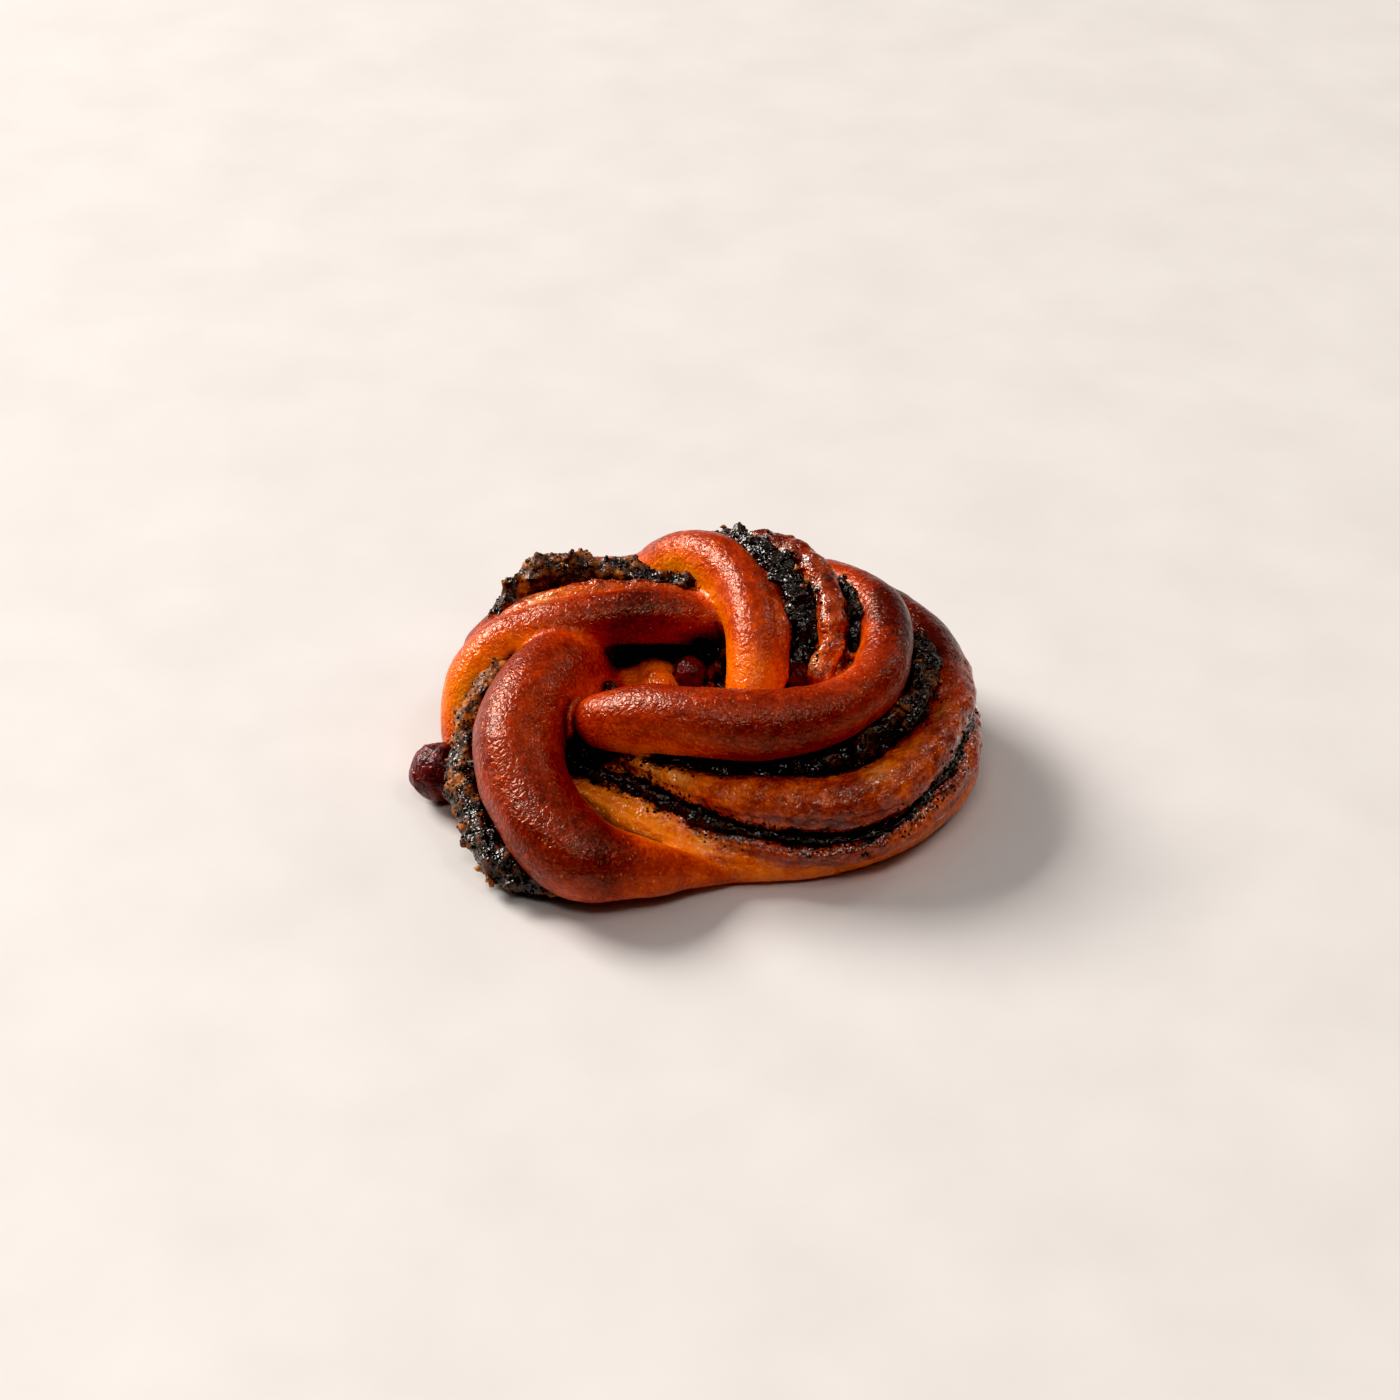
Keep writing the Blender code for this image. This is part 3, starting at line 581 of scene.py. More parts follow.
def make_dough(filling):
    """The dough's skin over the strands of the solid, with fine relief and its browning at each point."""
    strands = [Strand(name, spec, DOUGH_STEP) for name, spec in DOUGH.items()]
    lofts = [s.loft(44) for s in strands]
    lofts.append(ball(CORE_CENTRE, CORE_HALF))
    obj = join_lofts("dough_crust", lofts)
    melt(obj, DOUGH_CELL, smooth=2)
    cut_floor(obj)

    # What lies round each point: its strand, the next one, the paste and the sky.
    measure = Field(strands)
    points, normals = read_points(obj), read_normals(obj)
    depth, row = measure.depths(points)
    owner = depth.argmin(0)
    nearest = row[owner, np.arange(len(points))]
    ordered = np.sort(depth, axis=0)
    crease = np.exp(-np.clip(ordered[1] - ordered[0], 0, None) / 1.4)
    to_filling = np.clip(filling.depths(points)[0].min(0), 0, None)
    open_sky = np.zeros(len(points))
    for reach, weight in SKY_REACHES:
        above = measure.depths(points + normals * reach)[0].min(0)
        open_sky += weight * np.clip(above / reach, 0, 1)
    outward, run, turn, half = strand_places(strands, points, normals, owner, nearest)
    crag = np.array([s.spec["crag"] for s in strands])[owner]
    share = np.exp(-(depth - ordered[0]) / BLEND)
    share /= share.sum(0)
    torn = np.array([TORN.get(s.name, 0.0) for s in strands]) @ share * ramp(outward, -0.3, 0.3)
    streak = fractal(np.column_stack([run / 7.0, turn / 1.5, owner * 9.0]), 1.0, 2)
    groove = groove_share(strands, owner, run, turn, half)
    edge = torn * np.exp(-((to_filling / EDGE_REACH) ** 2)) * ramp(fractal(points, 6.0), -0.6, 0.0)

    # Relief in millimetres, fading out towards the flat base.
    rough = 0.32 * fractal(points, 9.0) + 0.13 * fractal(points, 3.4) + 0.05 * fractal(points, 1.8)
    rough += torn * (0.24 * streak + 0.22 * fractal(points, 1.6) + 0.16 * fractal(points, 2.8))
    rough += crag * 0.45 * fractal(points, 2.6)
    rough -= GROOVE_DEPTH * groove
    rough += edge * (0.42 * lumped(points, EDGE_GRAIN) - 0.10 + 0.20 * fractal(points, 1.1))
    foot = ramp(points[:, 2], 0.0, 3.0)
    write_points(obj, within(points + normals * (rough * foot)[:, None]))

    # Browning: more where the face turns up and is open, in grooves and on torn edges, less in creases.
    brown = np.array([BAKED[s.name] for s in strands]) @ share
    brown += 0.08 * (outward - 0.75) + 0.22 * (open_sky - 0.65)
    brown += 0.07 * fractal(points, 12.0) + 0.06 * fractal(points, 5.0) + 0.04 * torn * streak
    names = [s.name for s in strands]
    # paler and browner places per strand, partly painted shade on the lower and right-facing flanks
    for name, places in BAKED_AND_SHADED_PLACES.items():
        for place, radius, change in places:
            brown += change * share[names.index(name)] * bell(points, place, radius)
    brown += 0.24 * groove - 0.16 * crease
    brown += 0.24 * torn * np.exp(-to_filling / EDGE_BROWN) + 0.10 * edge * fractal(points, EDGE_GRAIN)

    # Paste smeared on the dough beside it, painted shade in the hollows and where little sky reaches, and
    # pale crumb.
    smear = np.exp(-to_filling / (0.5 + 1.1 * torn))
    smear *= ramp(fractal(points, 2.2) + fractal(points, 5.0), -0.5, 0.5)
    # painted shade: black where little of the sky reaches, and in the hollows under the rolls
    hollow_shade = 0.8 * ramp(0.34 - open_sky, 0.0, 0.3)
    for middle, radius in SHADED_HOLLOWS:
        hollow_shade += 1.6 * bell(points, middle, radius)
    pale = np.zeros(len(points))
    for middle, radius, strength in PALE_PLACES:
        pale += strength * bell(points, middle, radius)

    for name, values in (("brown", brown), ("torn", torn), ("smear", smear), ("hollow_shade", hollow_shade), ("pale", pale)):
        write_value(obj, name, np.clip(values, 0, 1))
    for name, values in (("edge", edge), ("run", run), ("turn", turn)):
        write_value(obj, name, values)
    obj.data.materials.append(crust_material())
    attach(obj, "root")
    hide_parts("dough")
    return obj, measure, edge


# ---------------------------------------------------------------- materials


class Nodes:
    """Short names for building one material's nodes."""

    def __init__(self, name):
        self.material = bpy.data.materials.new(name)
        self.material.use_nodes = True
        self.tree = self.material.node_tree
        self.shader = self.tree.nodes["Principled BSDF"]

    def add(self, kind, **settings):
        node = self.tree.nodes.new(kind)
        for key, value in settings.items():
            setattr(node, key, value)
        return node

    def link(self, start, end):
        self.tree.links.new(start, end)

    def value(self, name):
        """A number that was written on the mesh."""
        return self.add("ShaderNodeAttribute", attribute_name=name).outputs["Fac"]

    def place(self):
        return self.add("ShaderNodeTexCoord").outputs["Object"]

    def noise(self, size, detail=2.0, rough=0.5, where=None):
        """Noise whose features are about this many millimetres wide."""
        node = self.add("ShaderNodeTexNoise")
        node.inputs["Scale"].default_value = 1.0 / (size * MM)
        node.inputs["Detail"].default_value = detail
        node.inputs["Roughness"].default_value = rough
        self.link(where or self.place(), node.inputs["Vector"])
        return node.outputs["Fac"]

    def streaks(self, long, wide):
        """Noise drawn out along the strands: its size along them and round them."""
        along = self.add("ShaderNodeCombineXYZ")
        self.link(self.math("DIVIDE", self.value("run"), long), along.inputs["X"])
        self.link(self.math("DIVIDE", self.value("turn"), wide), along.inputs["Y"])
        node = self.add("ShaderNodeTexNoise")
        node.inputs["Scale"].default_value = 1.0
        node.inputs["Detail"].default_value = 3.0
        self.link(along.outputs["Vector"], node.inputs["Vector"])
        return node.outputs["Fac"]

    def warped(self, size, shift):
        """Object coordinates pushed about by noise of this size, by up to this many millimetres."""
        node = self.add("ShaderNodeTexNoise")
        node.inputs["Scale"].default_value = 1.0 / (size * MM)
        self.link(self.place(), node.inputs["Vector"])
        push = self.add("ShaderNodeVectorMath", operation="MULTIPLY_ADD")
        self.link(node.outputs["Color"], push.inputs[0])
        push.inputs[1].default_value = [2 * shift * MM] * 3
        self.link(self.place(), push.inputs[2])
        return push.outputs[0]

    def cells(self, size, feature="F1", where=None, smoothness=None):
        """Distances in a pattern of cells about this many millimetres wide."""
        node = self.add("ShaderNodeTexVoronoi", feature=feature)
        node.inputs["Scale"].default_value = 1.0 / (size * MM)
        if smoothness is not None:
            node.inputs["Smoothness"].default_value = smoothness
        self.link(where or self.place(), node.inputs["Vector"])
        return node.outputs["Distance"]

    def math(self, operation, a, b=None):
        node = self.add("ShaderNodeMath", operation=operation)
        for socket, value in zip(node.inputs, (a, b)):
            if value is None:
                continue
            if isinstance(value, (int, float)):
                socket.default_value = value
            else:
                self.link(value, socket)
        return node.outputs[0]

    def range(self, value, low, high, to_low=0.0, to_high=1.0):
        """The value moved from one range to another, and held at its ends."""
        node = self.add("ShaderNodeMapRange")
        for socket, number in zip(("From Min", "From Max", "To Min", "To Max"), (low, high, to_low, to_high)):
            node.inputs[socket].default_value = number
        self.link(value, node.inputs["Value"])
        return node.outputs["Result"]

    def mix(self, share, first, second):
        """The first colour, with this share of the second."""
        node = self.add("ShaderNodeMix", data_type="RGBA")
        sockets = (node.inputs["Factor"], node.inputs[6], node.inputs[7])
        for socket, value in zip(sockets, (share, first, second)):
            if isinstance(value, (int, float)):
                socket.default_value = value
            elif isinstance(value, tuple):
                socket.default_value = (*value, 1.0)
            else:
                self.link(value, socket)
        return node.outputs[2]

    def colours(self, share, stops):
        """A colour from a row of (place, colour) stops."""
        node = self.add("ShaderNodeValToRGB")
        ramp_stops = node.color_ramp.elements
        while len(ramp_stops) < len(stops):
            ramp_stops.new(0.5)
        for stop, (at, colour) in zip(ramp_stops, stops):
            stop.position = at
            stop.color = (*colour, 1.0)
        self.link(share, node.inputs["Fac"])
        return node.outputs["Color"]

    def bump(self, height, distance, strength=1.0, onto=None):
        """Fine relief of this many millimetres, on top of another where that is given."""
        node = self.add("ShaderNodeBump")
        node.inputs["Strength"].default_value = strength
        node.inputs["Distance"].default_value = distance * MM
        self.link(height, node.inputs["Height"])
        if onto is not None:
            self.link(onto, node.inputs["Normal"])
        return node.outputs["Normal"]

    def set(self, **numbers):
        """Constant inputs of the shader."""
        for name, value in numbers.items():
            self.shader.inputs[name.replace("_", " ")].default_value = value


# Crust from pale gold to almost burnt.
CRUST_COLOURS = [
    (0.00, (0.90, 0.255, 0.008)),
    (0.20, (0.84, 0.170, 0.005)),
    (0.40, (0.64, 0.090, 0.004)),
    (0.58, (0.42, 0.043, 0.004)),
    (0.78, (0.23, 0.019, 0.004)),
    (1.00, (0.07, 0.004, 0.002)),
]

# Torn dough inside the crust, more golden than the outside.
CRUMB_COLOURS = [
    (0.00, (0.95, 0.36, 0.020)),
    (0.25, (0.80, 0.210, 0.010)),
    (0.45, (0.52, 0.105, 0.006)),
    (0.62, (0.30, 0.045, 0.006)),
    (0.80, (0.15, 0.016, 0.004)),
    (1.00, (0.05, 0.005, 0.002)),
]

# Painted glints of the egg wash, as small golden dots.
PAINTED_GLINT_COLOUR = (0.85, 0.28, 0.05)
PALE_CRUMB_COLOUR = (0.95, 0.42, 0.10)
DOT_COLOUR = (0.03, 0.010, 0.006)
SMEAR_COLOUR = (0.020, 0.009, 0.005)
# Painted shade in the hollows and where little sky reaches.
HOLLOW_SHADE_COLOUR = (0.010, 0.003, 0.001)

# The egg wash reflects a little of the crust's own colour.
WASH_TINT = (1.0, 0.64, 0.44, 1.0)


def crust_colour(n, torn, edge, cracks):
    """The browning of each point, broken up at several sizes, then painted glints, paste, pale crumb and
    painted shade in the hollows.
    """
    layer = n.streaks(6.2, 1.3)
    brown = n.value("brown")
    brown = n.math("ADD", brown, n.range(n.noise(2.4, 4.0, 0.6), 0.3, 0.7, -0.10, 0.10))
    brown = n.math("ADD", brown, n.range(n.noise(0.7, 2.0, 0.5), 0.35, 0.65, -0.05, 0.05))
    brown = n.math("ADD", brown, n.range(cracks, 0.0, 1.0, 0.07, -0.01))
    blotch = n.range(n.noise(3.4, 4.0, 0.6), 0.34, 0.66, -0.16, 0.16)
    brown = n.math("ADD", brown, n.math("MULTIPLY", torn, blotch))
    brown = n.math("ADD", brown, n.math("MULTIPLY", torn, n.range(layer, 0.32, 0.68, -0.05, 0.05)))
    inside = n.math("MULTIPLY", torn, 0.4)
    colour = n.mix(inside, n.colours(brown, CRUST_COLOURS), n.colours(brown, CRUMB_COLOURS))
    # painted glints of the egg wash: small golden dots in patches
    painted_glints = n.range(n.cells(1.9), 0.10, 0.17, 1.0, 0.0)
    painted_glints = n.math("MULTIPLY", painted_glints, n.range(n.noise(6.0), 0.45, 0.6))
    colour = n.mix(n.math("MULTIPLY", painted_glints, 0.45), colour, PAINTED_GLINT_COLOUR)
    pale = n.math("MULTIPLY", n.value("pale"), n.range(layer, 0.34, 0.52))
    colour = n.mix(pale, colour, PALE_CRUMB_COLOUR)
    dots = n.math("MULTIPLY", edge, n.range(n.cells(1.1), 0.25, 0.36, 1.0, 0.0))
    colour = n.mix(dots, colour, DOT_COLOUR)
    smeared = n.math("ADD", n.value("smear"), n.range(n.noise(0.9, 2.0), 0.3, 0.7, -0.45, 0.35))
    colour = n.mix(n.range(smeared, 0.25, 0.75), colour, SMEAR_COLOUR)
    # painted shade in the hollows
    return n.mix(n.value("hollow_shade"), colour, HOLLOW_SHADE_COLOUR)


def crust_material():
    n = Nodes("crust")
    torn = n.value("torn")
    edge = n.value("edge")
    cracks = n.range(n.cells(1.7, "DISTANCE_TO_EDGE", where=n.warped(1.1, 0.9)), 0.0, 0.28)
    n.link(crust_colour(n, torn, edge, cracks), n.shader.inputs["Base Color"])

    # The skin's own fine relief, and that of the wash that lies on it.
    grains = n.math("MULTIPLY", edge, n.cells(0.85, "SMOOTH_F1", smoothness=0.2))
    wrinkles = n.noise(1.0, 2.0, 0.5, where=n.warped(1.8, 0.6))
    tears = n.math("MULTIPLY", torn, n.noise(1.7, 3.0, 0.5, where=n.warped(2.5, 0.8)))
    skin = n.bump(cracks, 0.10, 0.8)
    skin = n.bump(wrinkles, 0.32, 0.7, onto=skin)
    skin = n.bump(grains, 0.5, 1.0, onto=skin)
    skin = n.bump(tears, 0.7, 0.8, onto=skin)
    n.link(skin, n.shader.inputs["Normal"])
    film = n.bump(n.noise(1.7, 2.0, 0.5, where=n.warped(2.2, 0.7)), 0.30, 0.8)
    film = n.bump(n.math("ADD", grains, cracks), 0.12, 0.8, onto=film)
    n.link(film, n.shader.inputs["Coat Normal"])

    n.link(n.range(n.noise(3.0, 2.0), 0.3, 0.7, 0.26, 0.40), n.shader.inputs["Roughness"])
    glaze = n.math("MULTIPLY", torn, n.range(n.noise(3.0, 2.0), 0.40, 0.54, 0.0, 0.7))
    n.link(n.math("ADD", n.math("ADD", glaze, 0.26), edge), n.shader.inputs["Coat Weight"])
    n.shader.inputs["Specular Tint"].default_value = WASH_TINT
    n.set(Specular_IOR_Level=0.45, Coat_Roughness=0.05)
    return n.material


# Paste from wet and black to dusty brown.
PASTE_COLOURS = [
    (0.00, (0.006, 0.004, 0.003)),
    (0.25, (0.018, 0.010, 0.007)),
    (0.50, (0.070, 0.028, 0.014)),
    (0.75, (0.25, 0.085, 0.024)),
    (1.00, (0.50, 0.17, 0.035)),
]


def filling_material():
    n = Nodes("poppy_paste")
    tone = n.math("ADD", n.value("tone"), n.range(n.noise(1.3, 3.0, 0.6), 0.3, 0.7, -0.22, 0.22))
    n.link(n.colours(tone, PASTE_COLOURS), n.shader.inputs["Base Color"])
    grains = n.bump(n.cells(0.95, "SMOOTH_F1", smoothness=0.25), 0.34, 0.9)
    skin = n.bump(n.noise(0.6, 2.0), 0.14, 0.8, onto=grains)
    n.link(skin, n.shader.inputs["Normal"])
    n.link(skin, n.shader.inputs["Coat Normal"])
    n.link(n.range(tone, 0.15, 0.9, 0.28, 0.65), n.shader.inputs["Roughness"])
    n.link(n.range(tone, 0.3, 0.7, 0.6, 0.1), n.shader.inputs["Coat Weight"])
    n.set(Specular_IOR_Level=0.30, Coat_Roughness=0.06)
    return n.material


# Seeds from black to dusty brown.
SEED_COLOURS = [
    (0.0, (0.006, 0.005, 0.006)),
    (0.35, (0.022, 0.015, 0.012)),
    (0.65, (0.085, 0.048, 0.028)),
    (1.0, (0.24, 0.13, 0.065)),
]


def seed_material():
    n = Nodes("poppy_seed")
    n.link(n.colours(n.value("kind"), SEED_COLOURS), n.shader.inputs["Base Color"])
    n.link(n.bump(n.cells(0.25), 0.04, 0.5), n.shader.inputs["Normal"])
    n.set(Roughness=0.20, Specular_IOR_Level=0.40)
    return n.material


CHERRY_DARK = (0.045, 0.002, 0.002)
CHERRY_RED = (0.14, 0.008, 0.005)


def cherry_material():
    n = Nodes("baked_cherry")
    patch = n.range(n.noise(2.5, 3.0), 0.35, 0.65)
    n.link(n.mix(patch, CHERRY_DARK, CHERRY_RED), n.shader.inputs["Base Color"])
    skin = n.bump(n.noise(1.6, 3.0), 0.9, 0.9)
    n.link(skin, n.shader.inputs["Normal"])
    n.link(skin, n.shader.inputs["Coat Normal"])
    n.set(Roughness=0.45, Specular_IOR_Level=0.25, Coat_Weight=0.30, Coat_Roughness=0.06)
    return n.material


# Crumbs from dark to golden.
LOOSE_CRUMB_COLOURS = [
    (0.0, (0.09, 0.022, 0.006)),
    (0.6, (0.28, 0.085, 0.016)),
    (1.0, (0.55, 0.22, 0.05)),
]


def crumb_material():
    n = Nodes("crumb")
    n.link(n.colours(n.value("kind"), LOOSE_CRUMB_COLOURS), n.shader.inputs["Base Color"])
    n.link(n.bump(n.noise(0.5, 3.0), 0.2, 0.8), n.shader.inputs["Normal"])
    n.set(Roughness=0.6, Coat_Weight=0.2, Coat_Roughness=0.25)
    return n.material


# ---------------------------------------------------------------- filling, seeds and cherries

FILLING_STEP = 1.4
FILLING_CELL = 0.57
SEED = 11
LUMP_RADIUS = (1.3, 2.6)
LUMP_SUNK = 0.45
LUMP_DENT = 0.7
LUMP_WAVE = 2.2

# The widths of the paste's large and small clots.
CLOT_BIG = 3.4
CLOT_SMALL = 1.7


def lump(middle, radius):
    """Points and faces of a dented ball of paste."""
    points, faces = ball((0, 0, 0), (1.0, 1.0, 1.0), 16)
    on_face = np.array(middle) + points * radius
    return on_face + points * (LUMP_DENT * fractal(on_face, LUMP_WAVE))[:, None], faces


# How dusty and brown each ribbon's face is, against black and wet.
FILLING_TONES = {
    "left": 0.60, "back": 0.54, "crown": 0.14, "right": 0.26, "side_high": 0.26, "side_low": 0.20,
    "middle": 0.04,
}

# Browner and blacker places in the paste: middle, radius and change.
TONE_PLACES = [
    # brown where the crown's ribbon starts, and patches of crumb in the ribbon at the right
    ((1, 36, 36), 6, 0.40), ((5.5, 28, 42), 4, 0.30), ((38, -17, 28.5), 4.5, 0.40),
    ((45, -8, 29), 4, 0.35), ((43.5, 4, 29), 4, 0.20), ((31, -25, 25), 3.5, 0.25),
    # dusty top and wet foot of the left ribbon
    ((-46, 1.5, 25), 6, 0.45), ((-51, -8, 20), 6, 0.25), ((-46, -38, 8), 9, -0.30),
    ((-52, -20, 14), 7, -0.12), ((-36, -45, 5), 8, -0.25),
    # the back ribbon's left end, and the start of the ribbons on the cut side
    ((-30, 24, 37), 12, 0.10), ((-44, 24, 32), 6, 0.15), ((-16, -21.5, 21), 4, 0.25),
    ((-21, -21, 17), 3, 0.30),
]


def make_filling():
    """The paste's skin over the ribbons of the solid, with lumps, clots and its tone at each point."""
    rng = random.Random(SEED)
    strands = [Strand(name, spec, FILLING_STEP) for name, spec in FILLING.items()]
    lofts = [s.loft(28) for s in strands]
    for s in strands:
        for _ in range(int(s.spec["lumps"] * 1.6)):
            i = rng.randrange(1, len(s.centre) - 1)
            turn = math.radians(rng.uniform(10, 170))
            radius = min(rng.uniform(*LUMP_RADIUS), s.half[i] * 0.9)
            face = s.centre[i] + s.half[i] * (
                s.side[i] * math.cos(turn) + s.away[i] * math.sin(turn) * s.spec["out"]
            )
            lofts.append(lump(face - s.away[i] * radius * LUMP_SUNK, radius))
    obj = join_lofts("poppy_paste", lofts)
    melt(obj, FILLING_CELL, smooth=1)
    cut_floor(obj)

    points, normals = read_points(obj), read_normals(obj)
    measure = Field(strands)
    owner = measure.depths(points)[0].argmin(0)
    big, small = lumped(points, CLOT_BIG), lumped(points, CLOT_SMALL)
    relief = 0.95 * (big - 0.45) + 0.40 * (small - 0.45) + 0.12 * fractal(points, 0.9) - 0.25
    tone = np.array([FILLING_TONES[s.name] for s in strands])[owner]
    tone = tone * (0.50 + 0.9 * ramp(big, -0.1, 0.7)) + 0.45 * fractal(points, 5.0) * (0.2 + tone)
    for middle, radius, change in TONE_PLACES:
        tone += change * bell(points, middle, radius)
    tone = np.clip(tone, 0, 1)
    write_points(obj, within(points + normals * relief[:, None]))
    write_value(obj, "tone", tone)
    obj.data.materials.append(filling_material())
    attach(obj, "root")
    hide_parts("filling")
    return obj, measure, tone


PASTE_SEEDS = 6000
EDGE_SEEDS = 700
SEED_RADIUS = (0.36, 0.52)
SEED_SHAPE = (1.0, 0.8, 0.75)
EDGE_SEED_TONE = 0.2


def seed_grounds(filling, tone, crust, dough, edge):
    """Where single seeds sit: places, directions and tones, in the paste and on the torn edges by it."""
    rng = random.Random(SEED)
    points, normals = read_points(filling), read_normals(filling)
    shown = (dough.depths(points)[0].min(0) > -0.6) & (points[:, 2] > 0.8)
    paste = rng.sample(list(np.flatnonzero(shown)), PASTE_SEEDS)
    on_crust = np.flatnonzero(edge > 0.3)
    torn = rng.sample(list(on_crust), min(EDGE_SEEDS, len(on_crust)))
    crust_points, crust_normals = read_points(crust), read_normals(crust)
    places = np.vstack([points[paste], crust_points[torn]])
    ways = np.vstack([normals[paste], crust_normals[torn]])
    return places, ways, np.concatenate([tone[paste], np.full(len(torn), EDGE_SEED_TONE)])


def scatter_seeds(points, normals, tones):
    """Single seeds, half sunk in the ground."""
    rng = random.Random(SEED)
    base, rows = icosphere(1)
    places, faces, kinds = [], [], []
    for n in range(len(points)):
        size = rng.uniform(*SEED_RADIUS)
        turn = Vector([rng.uniform(-1, 1) for _ in range(3)]).to_track_quat("Z", "Y").to_matrix()
        shape = (base * SEED_SHAPE * size) @ np.array(turn)
        places.append(shape + points[n] + normals[n] * size * rng.uniform(-0.6, 0.15))
        faces.append(rows + n * len(base))
        kinds.append(np.full(len(base), 0.6 * tones[n] + 0.4 * rng.random() ** 2))
    seeds = mesh_object("poppy_seeds", within(np.vstack(places)), np.vstack(faces).tolist())
    seeds.data.shade_smooth()
    write_value(seeds, "kind", np.concatenate(kinds))
    seeds.data.materials.append(seed_material())
    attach(seeds, "root")


# Loose crumbs of dough: middle and spread of each group, and their count.
CRUMB_GROUPS = [
    ((-53.5, -3, 18), 2, 8), ((-54, -14, 13), 3, 8), ((-47.5, -41, 3), 2.2, 9),
    ((-16, -23.5, 21), 4, 14), ((-20, -22, 17), 3, 8), ((39, -17, 29), 4, 10), ((46, -4, 30), 4, 8),
    ((2, 36, 38), 4, 12), ((-36, 24, 36.5), 7, 10), ((20, 14, 42.5), 5, 8),
]
CRUMB_RADIUS = (0.35, 0.85)


def scatter_crumbs(points, normals):
    """Crumbs of torn dough that stick to the paste."""
    rng = random.Random(SEED + 1)
    base, rows = icosphere(2)
    places, faces, kinds = [], [], []
    for middle, spread, count in CRUMB_GROUPS:
        near = np.flatnonzero(np.linalg.norm(points - np.array(middle), axis=1) < spread + 1.5)
        for i in rng.sample(list(near), min(count, len(near))):
            size = rng.uniform(*CRUMB_RADIUS)
            shape = base * (0.9 + 1.1 * fractal(base * 1.7 + i, 1.0))[:, None]
            shape *= np.array([rng.uniform(0.5, 1.4) for _ in range(3)]) * size
            places.append(shape + points[i] + normals[i] * size * 0.35)
            faces.append(rows + len(faces) * len(base))
            kinds.append(np.full(len(base), rng.random()))
    crumbs = mesh_object("crumbs", within(np.vstack(places)), np.vstack(faces).tolist())
    crumbs.data.shade_smooth()
    write_value(crumbs, "kind", np.concatenate(kinds))
    crumbs.data.materials.append(crumb_material())
    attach(crumbs, "root")


def make_cherry(name, material):
    """A cherry's wrinkled skin, flat where it meets the floor."""
    middle, radius = CHERRIES[name]
    out, rows = icosphere(5)
    on_face = np.array(middle) + out * radius
    push = 0.5 * fractal(on_face, 3.6) - 0.55 * np.abs(fractal(on_face, 2.6)) - 0.05
    points = on_face + out * push[:, None]
    points[:, 2] = np.clip(points[:, 2], 0, None)
    obj = mesh_object(name + "_skin", within(points), rows.tolist())
    obj.data.shade_smooth()
    obj.data.materials.append(material)
    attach(obj, "root")
    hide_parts(name)


# ---------------------------------------------------------------- floor, light and camera

FLOOR_HALF = 2.0
FLOOR_DARK = (0.64, 0.615, 0.60)
FLOOR_LIGHT = (0.68, 0.655, 0.64)


def make_stage():
    """A plain pale floor, very faintly clouded."""
    mesh = bpy.data.meshes.new("floor")
    corners = [(x * FLOOR_HALF, y * FLOOR_HALF, 0) for x, y in ((-1, -1), (1, -1), (1, 1), (-1, 1))]
    mesh.from_pydata(corners, [], [(0, 1, 2, 3)])
    floor = bpy.data.objects.new("floor", mesh)
    bpy.context.scene.collection.objects.link(floor)
    n = Nodes("floor")
    tint = n.range(n.noise(30.0, 3.0), 0.3, 0.7)
    n.link(n.mix(tint, FLOOR_DARK, FLOOR_LIGHT), n.shader.inputs["Base Color"])
    n.set(Roughness=0.55)
    floor.data.materials.append(n.material)


# Each light's place, width and height, power in watts, and colour. All of them point at the bun.
LIGHTS = {
    "key": ((-1.89, 1.26, 1.712), (1.296, 1.152), 102.0, (1.0, 0.95, 0.90)),
    "back": ((0.66, 0.46, 0.52), (0.22, 0.2), 0.8, (1.0, 0.95, 0.92)),
    "front": ((-0.06, -0.62, 0.95), (0.30, 0.16), 2.2, (1.0, 0.94, 0.90)),
    "top": ((0.40, -0.28, 0.90), (0.20, 0.20), 0.9, (1.0, 0.96, 0.93)),
}
LIGHT_AIM = Vector((0, 0, 0.02))

# The room's light: how high it starts and is full, and its strength at each; dark near the horizon.
WORLD_LIGHT = (0.40, 0.90, 0.06, 0.28)
WORLD_COLOUR = (1.0, 0.97, 0.94, 1.0)


def area_light(name, place, size, power, colour):
    data = bpy.data.lights.new(name, "AREA")
    data.shape = "RECTANGLE"
    data.size, data.size_y = size
    data.energy = power
    data.color = colour
    light = bpy.data.objects.new(name, data)
    light.location = place
    light.rotation_euler = (LIGHT_AIM - Vector(place)).to_track_quat("-Z", "Y").to_euler()
    bpy.context.scene.collection.objects.link(light)


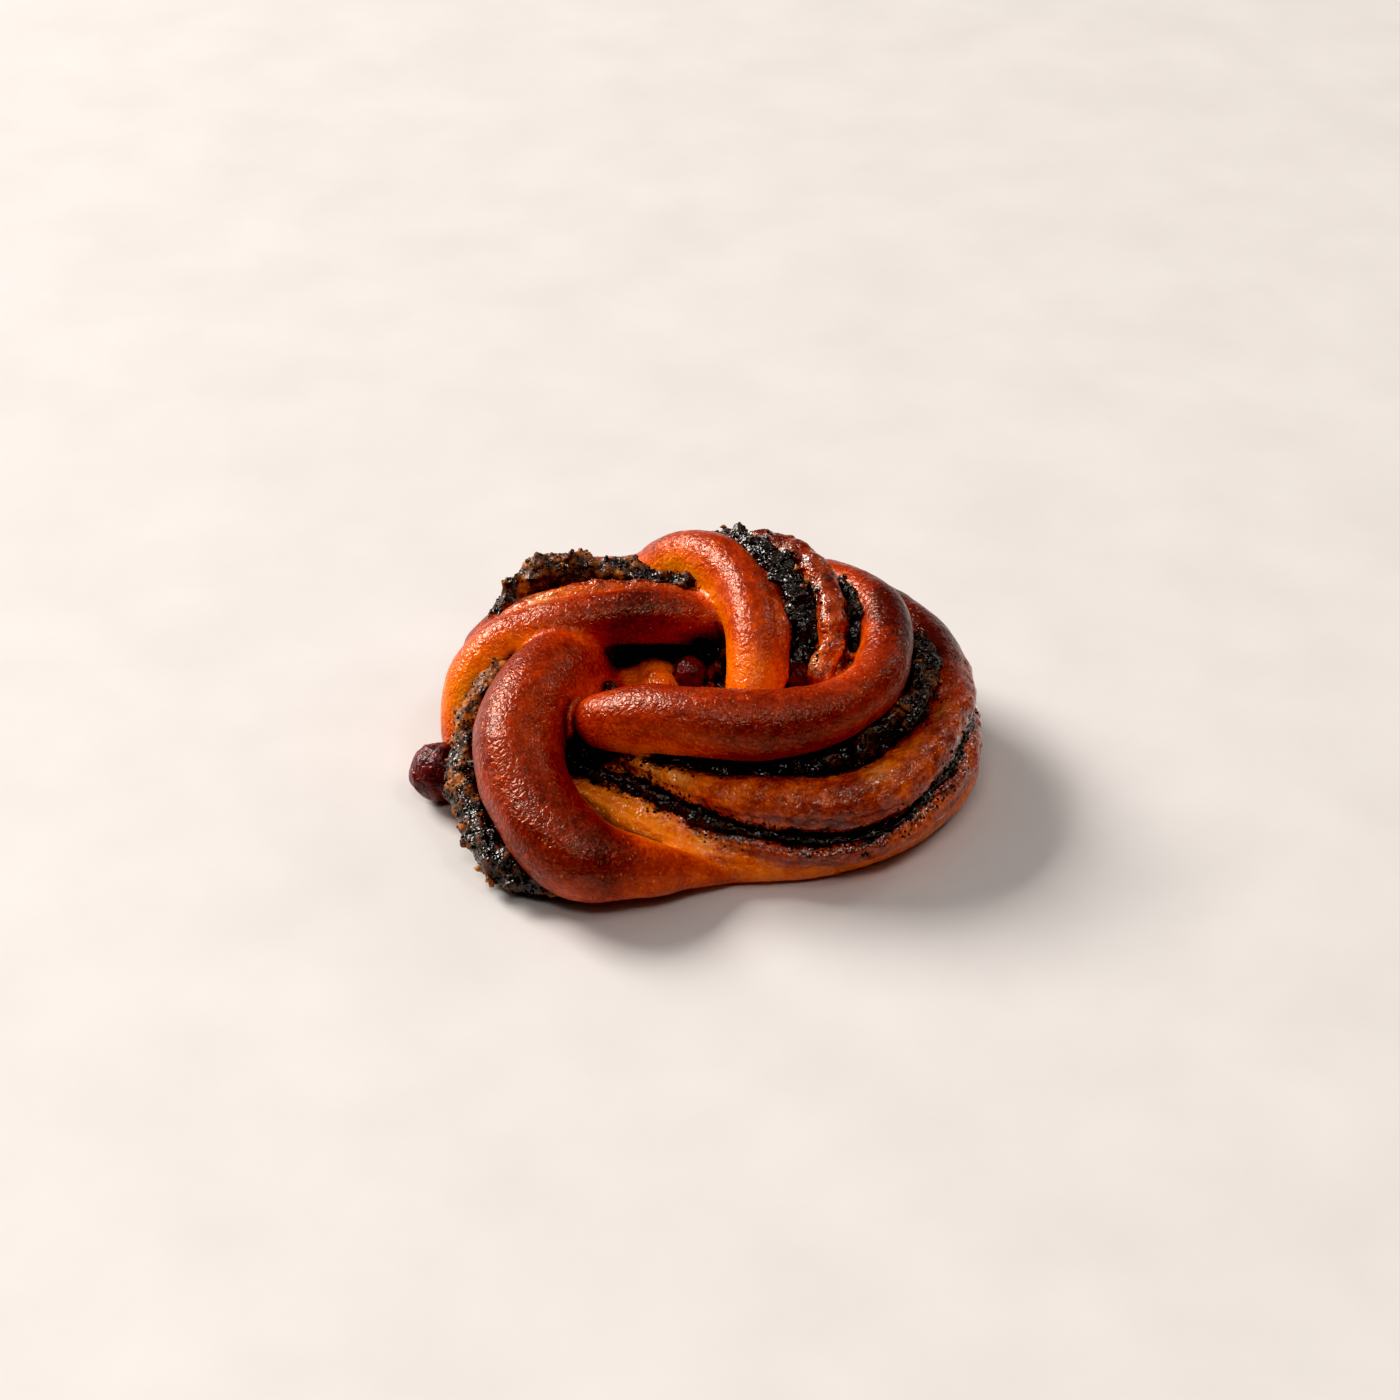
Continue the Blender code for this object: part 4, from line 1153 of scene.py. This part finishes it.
def make_lights():
    world = bpy.data.worlds.new("studio")
    world.use_nodes = True
    tree = world.node_tree
    background = tree.nodes["Background"]
    background.inputs["Color"].default_value = WORLD_COLOUR
    way = tree.nodes.new("ShaderNodeTexCoord")
    parts = tree.nodes.new("ShaderNodeSeparateXYZ")
    tree.links.new(way.outputs["Generated"], parts.inputs["Vector"])
    height = tree.nodes.new("ShaderNodeMapRange")
    for socket, number in zip(("From Min", "From Max", "To Min", "To Max"), WORLD_LIGHT):
        height.inputs[socket].default_value = number
    tree.links.new(parts.outputs["Z"], height.inputs["Value"])
    tree.links.new(height.outputs["Result"], background.inputs["Strength"])
    bpy.context.scene.world = world
    for name, (place, size, power, colour) in LIGHTS.items():
        area_light(name, place, size, power, colour)


# The photo's camera: it looks down at this angle, from this distance, at the middle of the bun.
CAMERA_ELEVATION = math.radians(35.5)
CAMERA_DISTANCE = 0.65
CAMERA_AIM = Vector((-0.00255, 0.0, 0.0183))
CAMERA_LENS = 78.56
SENSOR_WIDTH = 36.0


def make_camera():
    back = Vector((0, -math.cos(CAMERA_ELEVATION), math.sin(CAMERA_ELEVATION)))
    data = bpy.data.cameras.new("camera")
    data.sensor_width = SENSOR_WIDTH
    data.lens = CAMERA_LENS
    data.clip_start = 0.01
    camera = bpy.data.objects.new("camera", data)
    camera.location = CAMERA_AIM + back * CAMERA_DISTANCE
    camera.rotation_euler = (-back).to_track_quat("-Z", "Y").to_euler()
    bpy.context.scene.collection.objects.link(camera)
    bpy.context.scene.camera = camera


BLACK_LEVEL = 0.010


def grade_picture():
    """Grading like the photo's: more contrast, and the faintest light clipped to black."""
    view = bpy.context.scene.view_settings
    view.view_transform = "Standard"
    view.look = "Medium High Contrast"
    view.use_curve_mapping = True
    view.curve_mapping.black_level = [BLACK_LEVEL] * 3
    view.curve_mapping.update()


def main():
    filling, filling_field, tone = make_filling()
    crust, dough_field, edge = make_dough(filling_field)
    places, ways, tones = seed_grounds(filling, tone, crust, dough_field, edge)
    scatter_seeds(places, ways, tones)
    scatter_crumbs(places, ways)
    skin = cherry_material()
    for name in CHERRIES:
        make_cherry(name, skin)
    make_stage()
    make_lights()
    make_camera()
    grade_picture()


main()
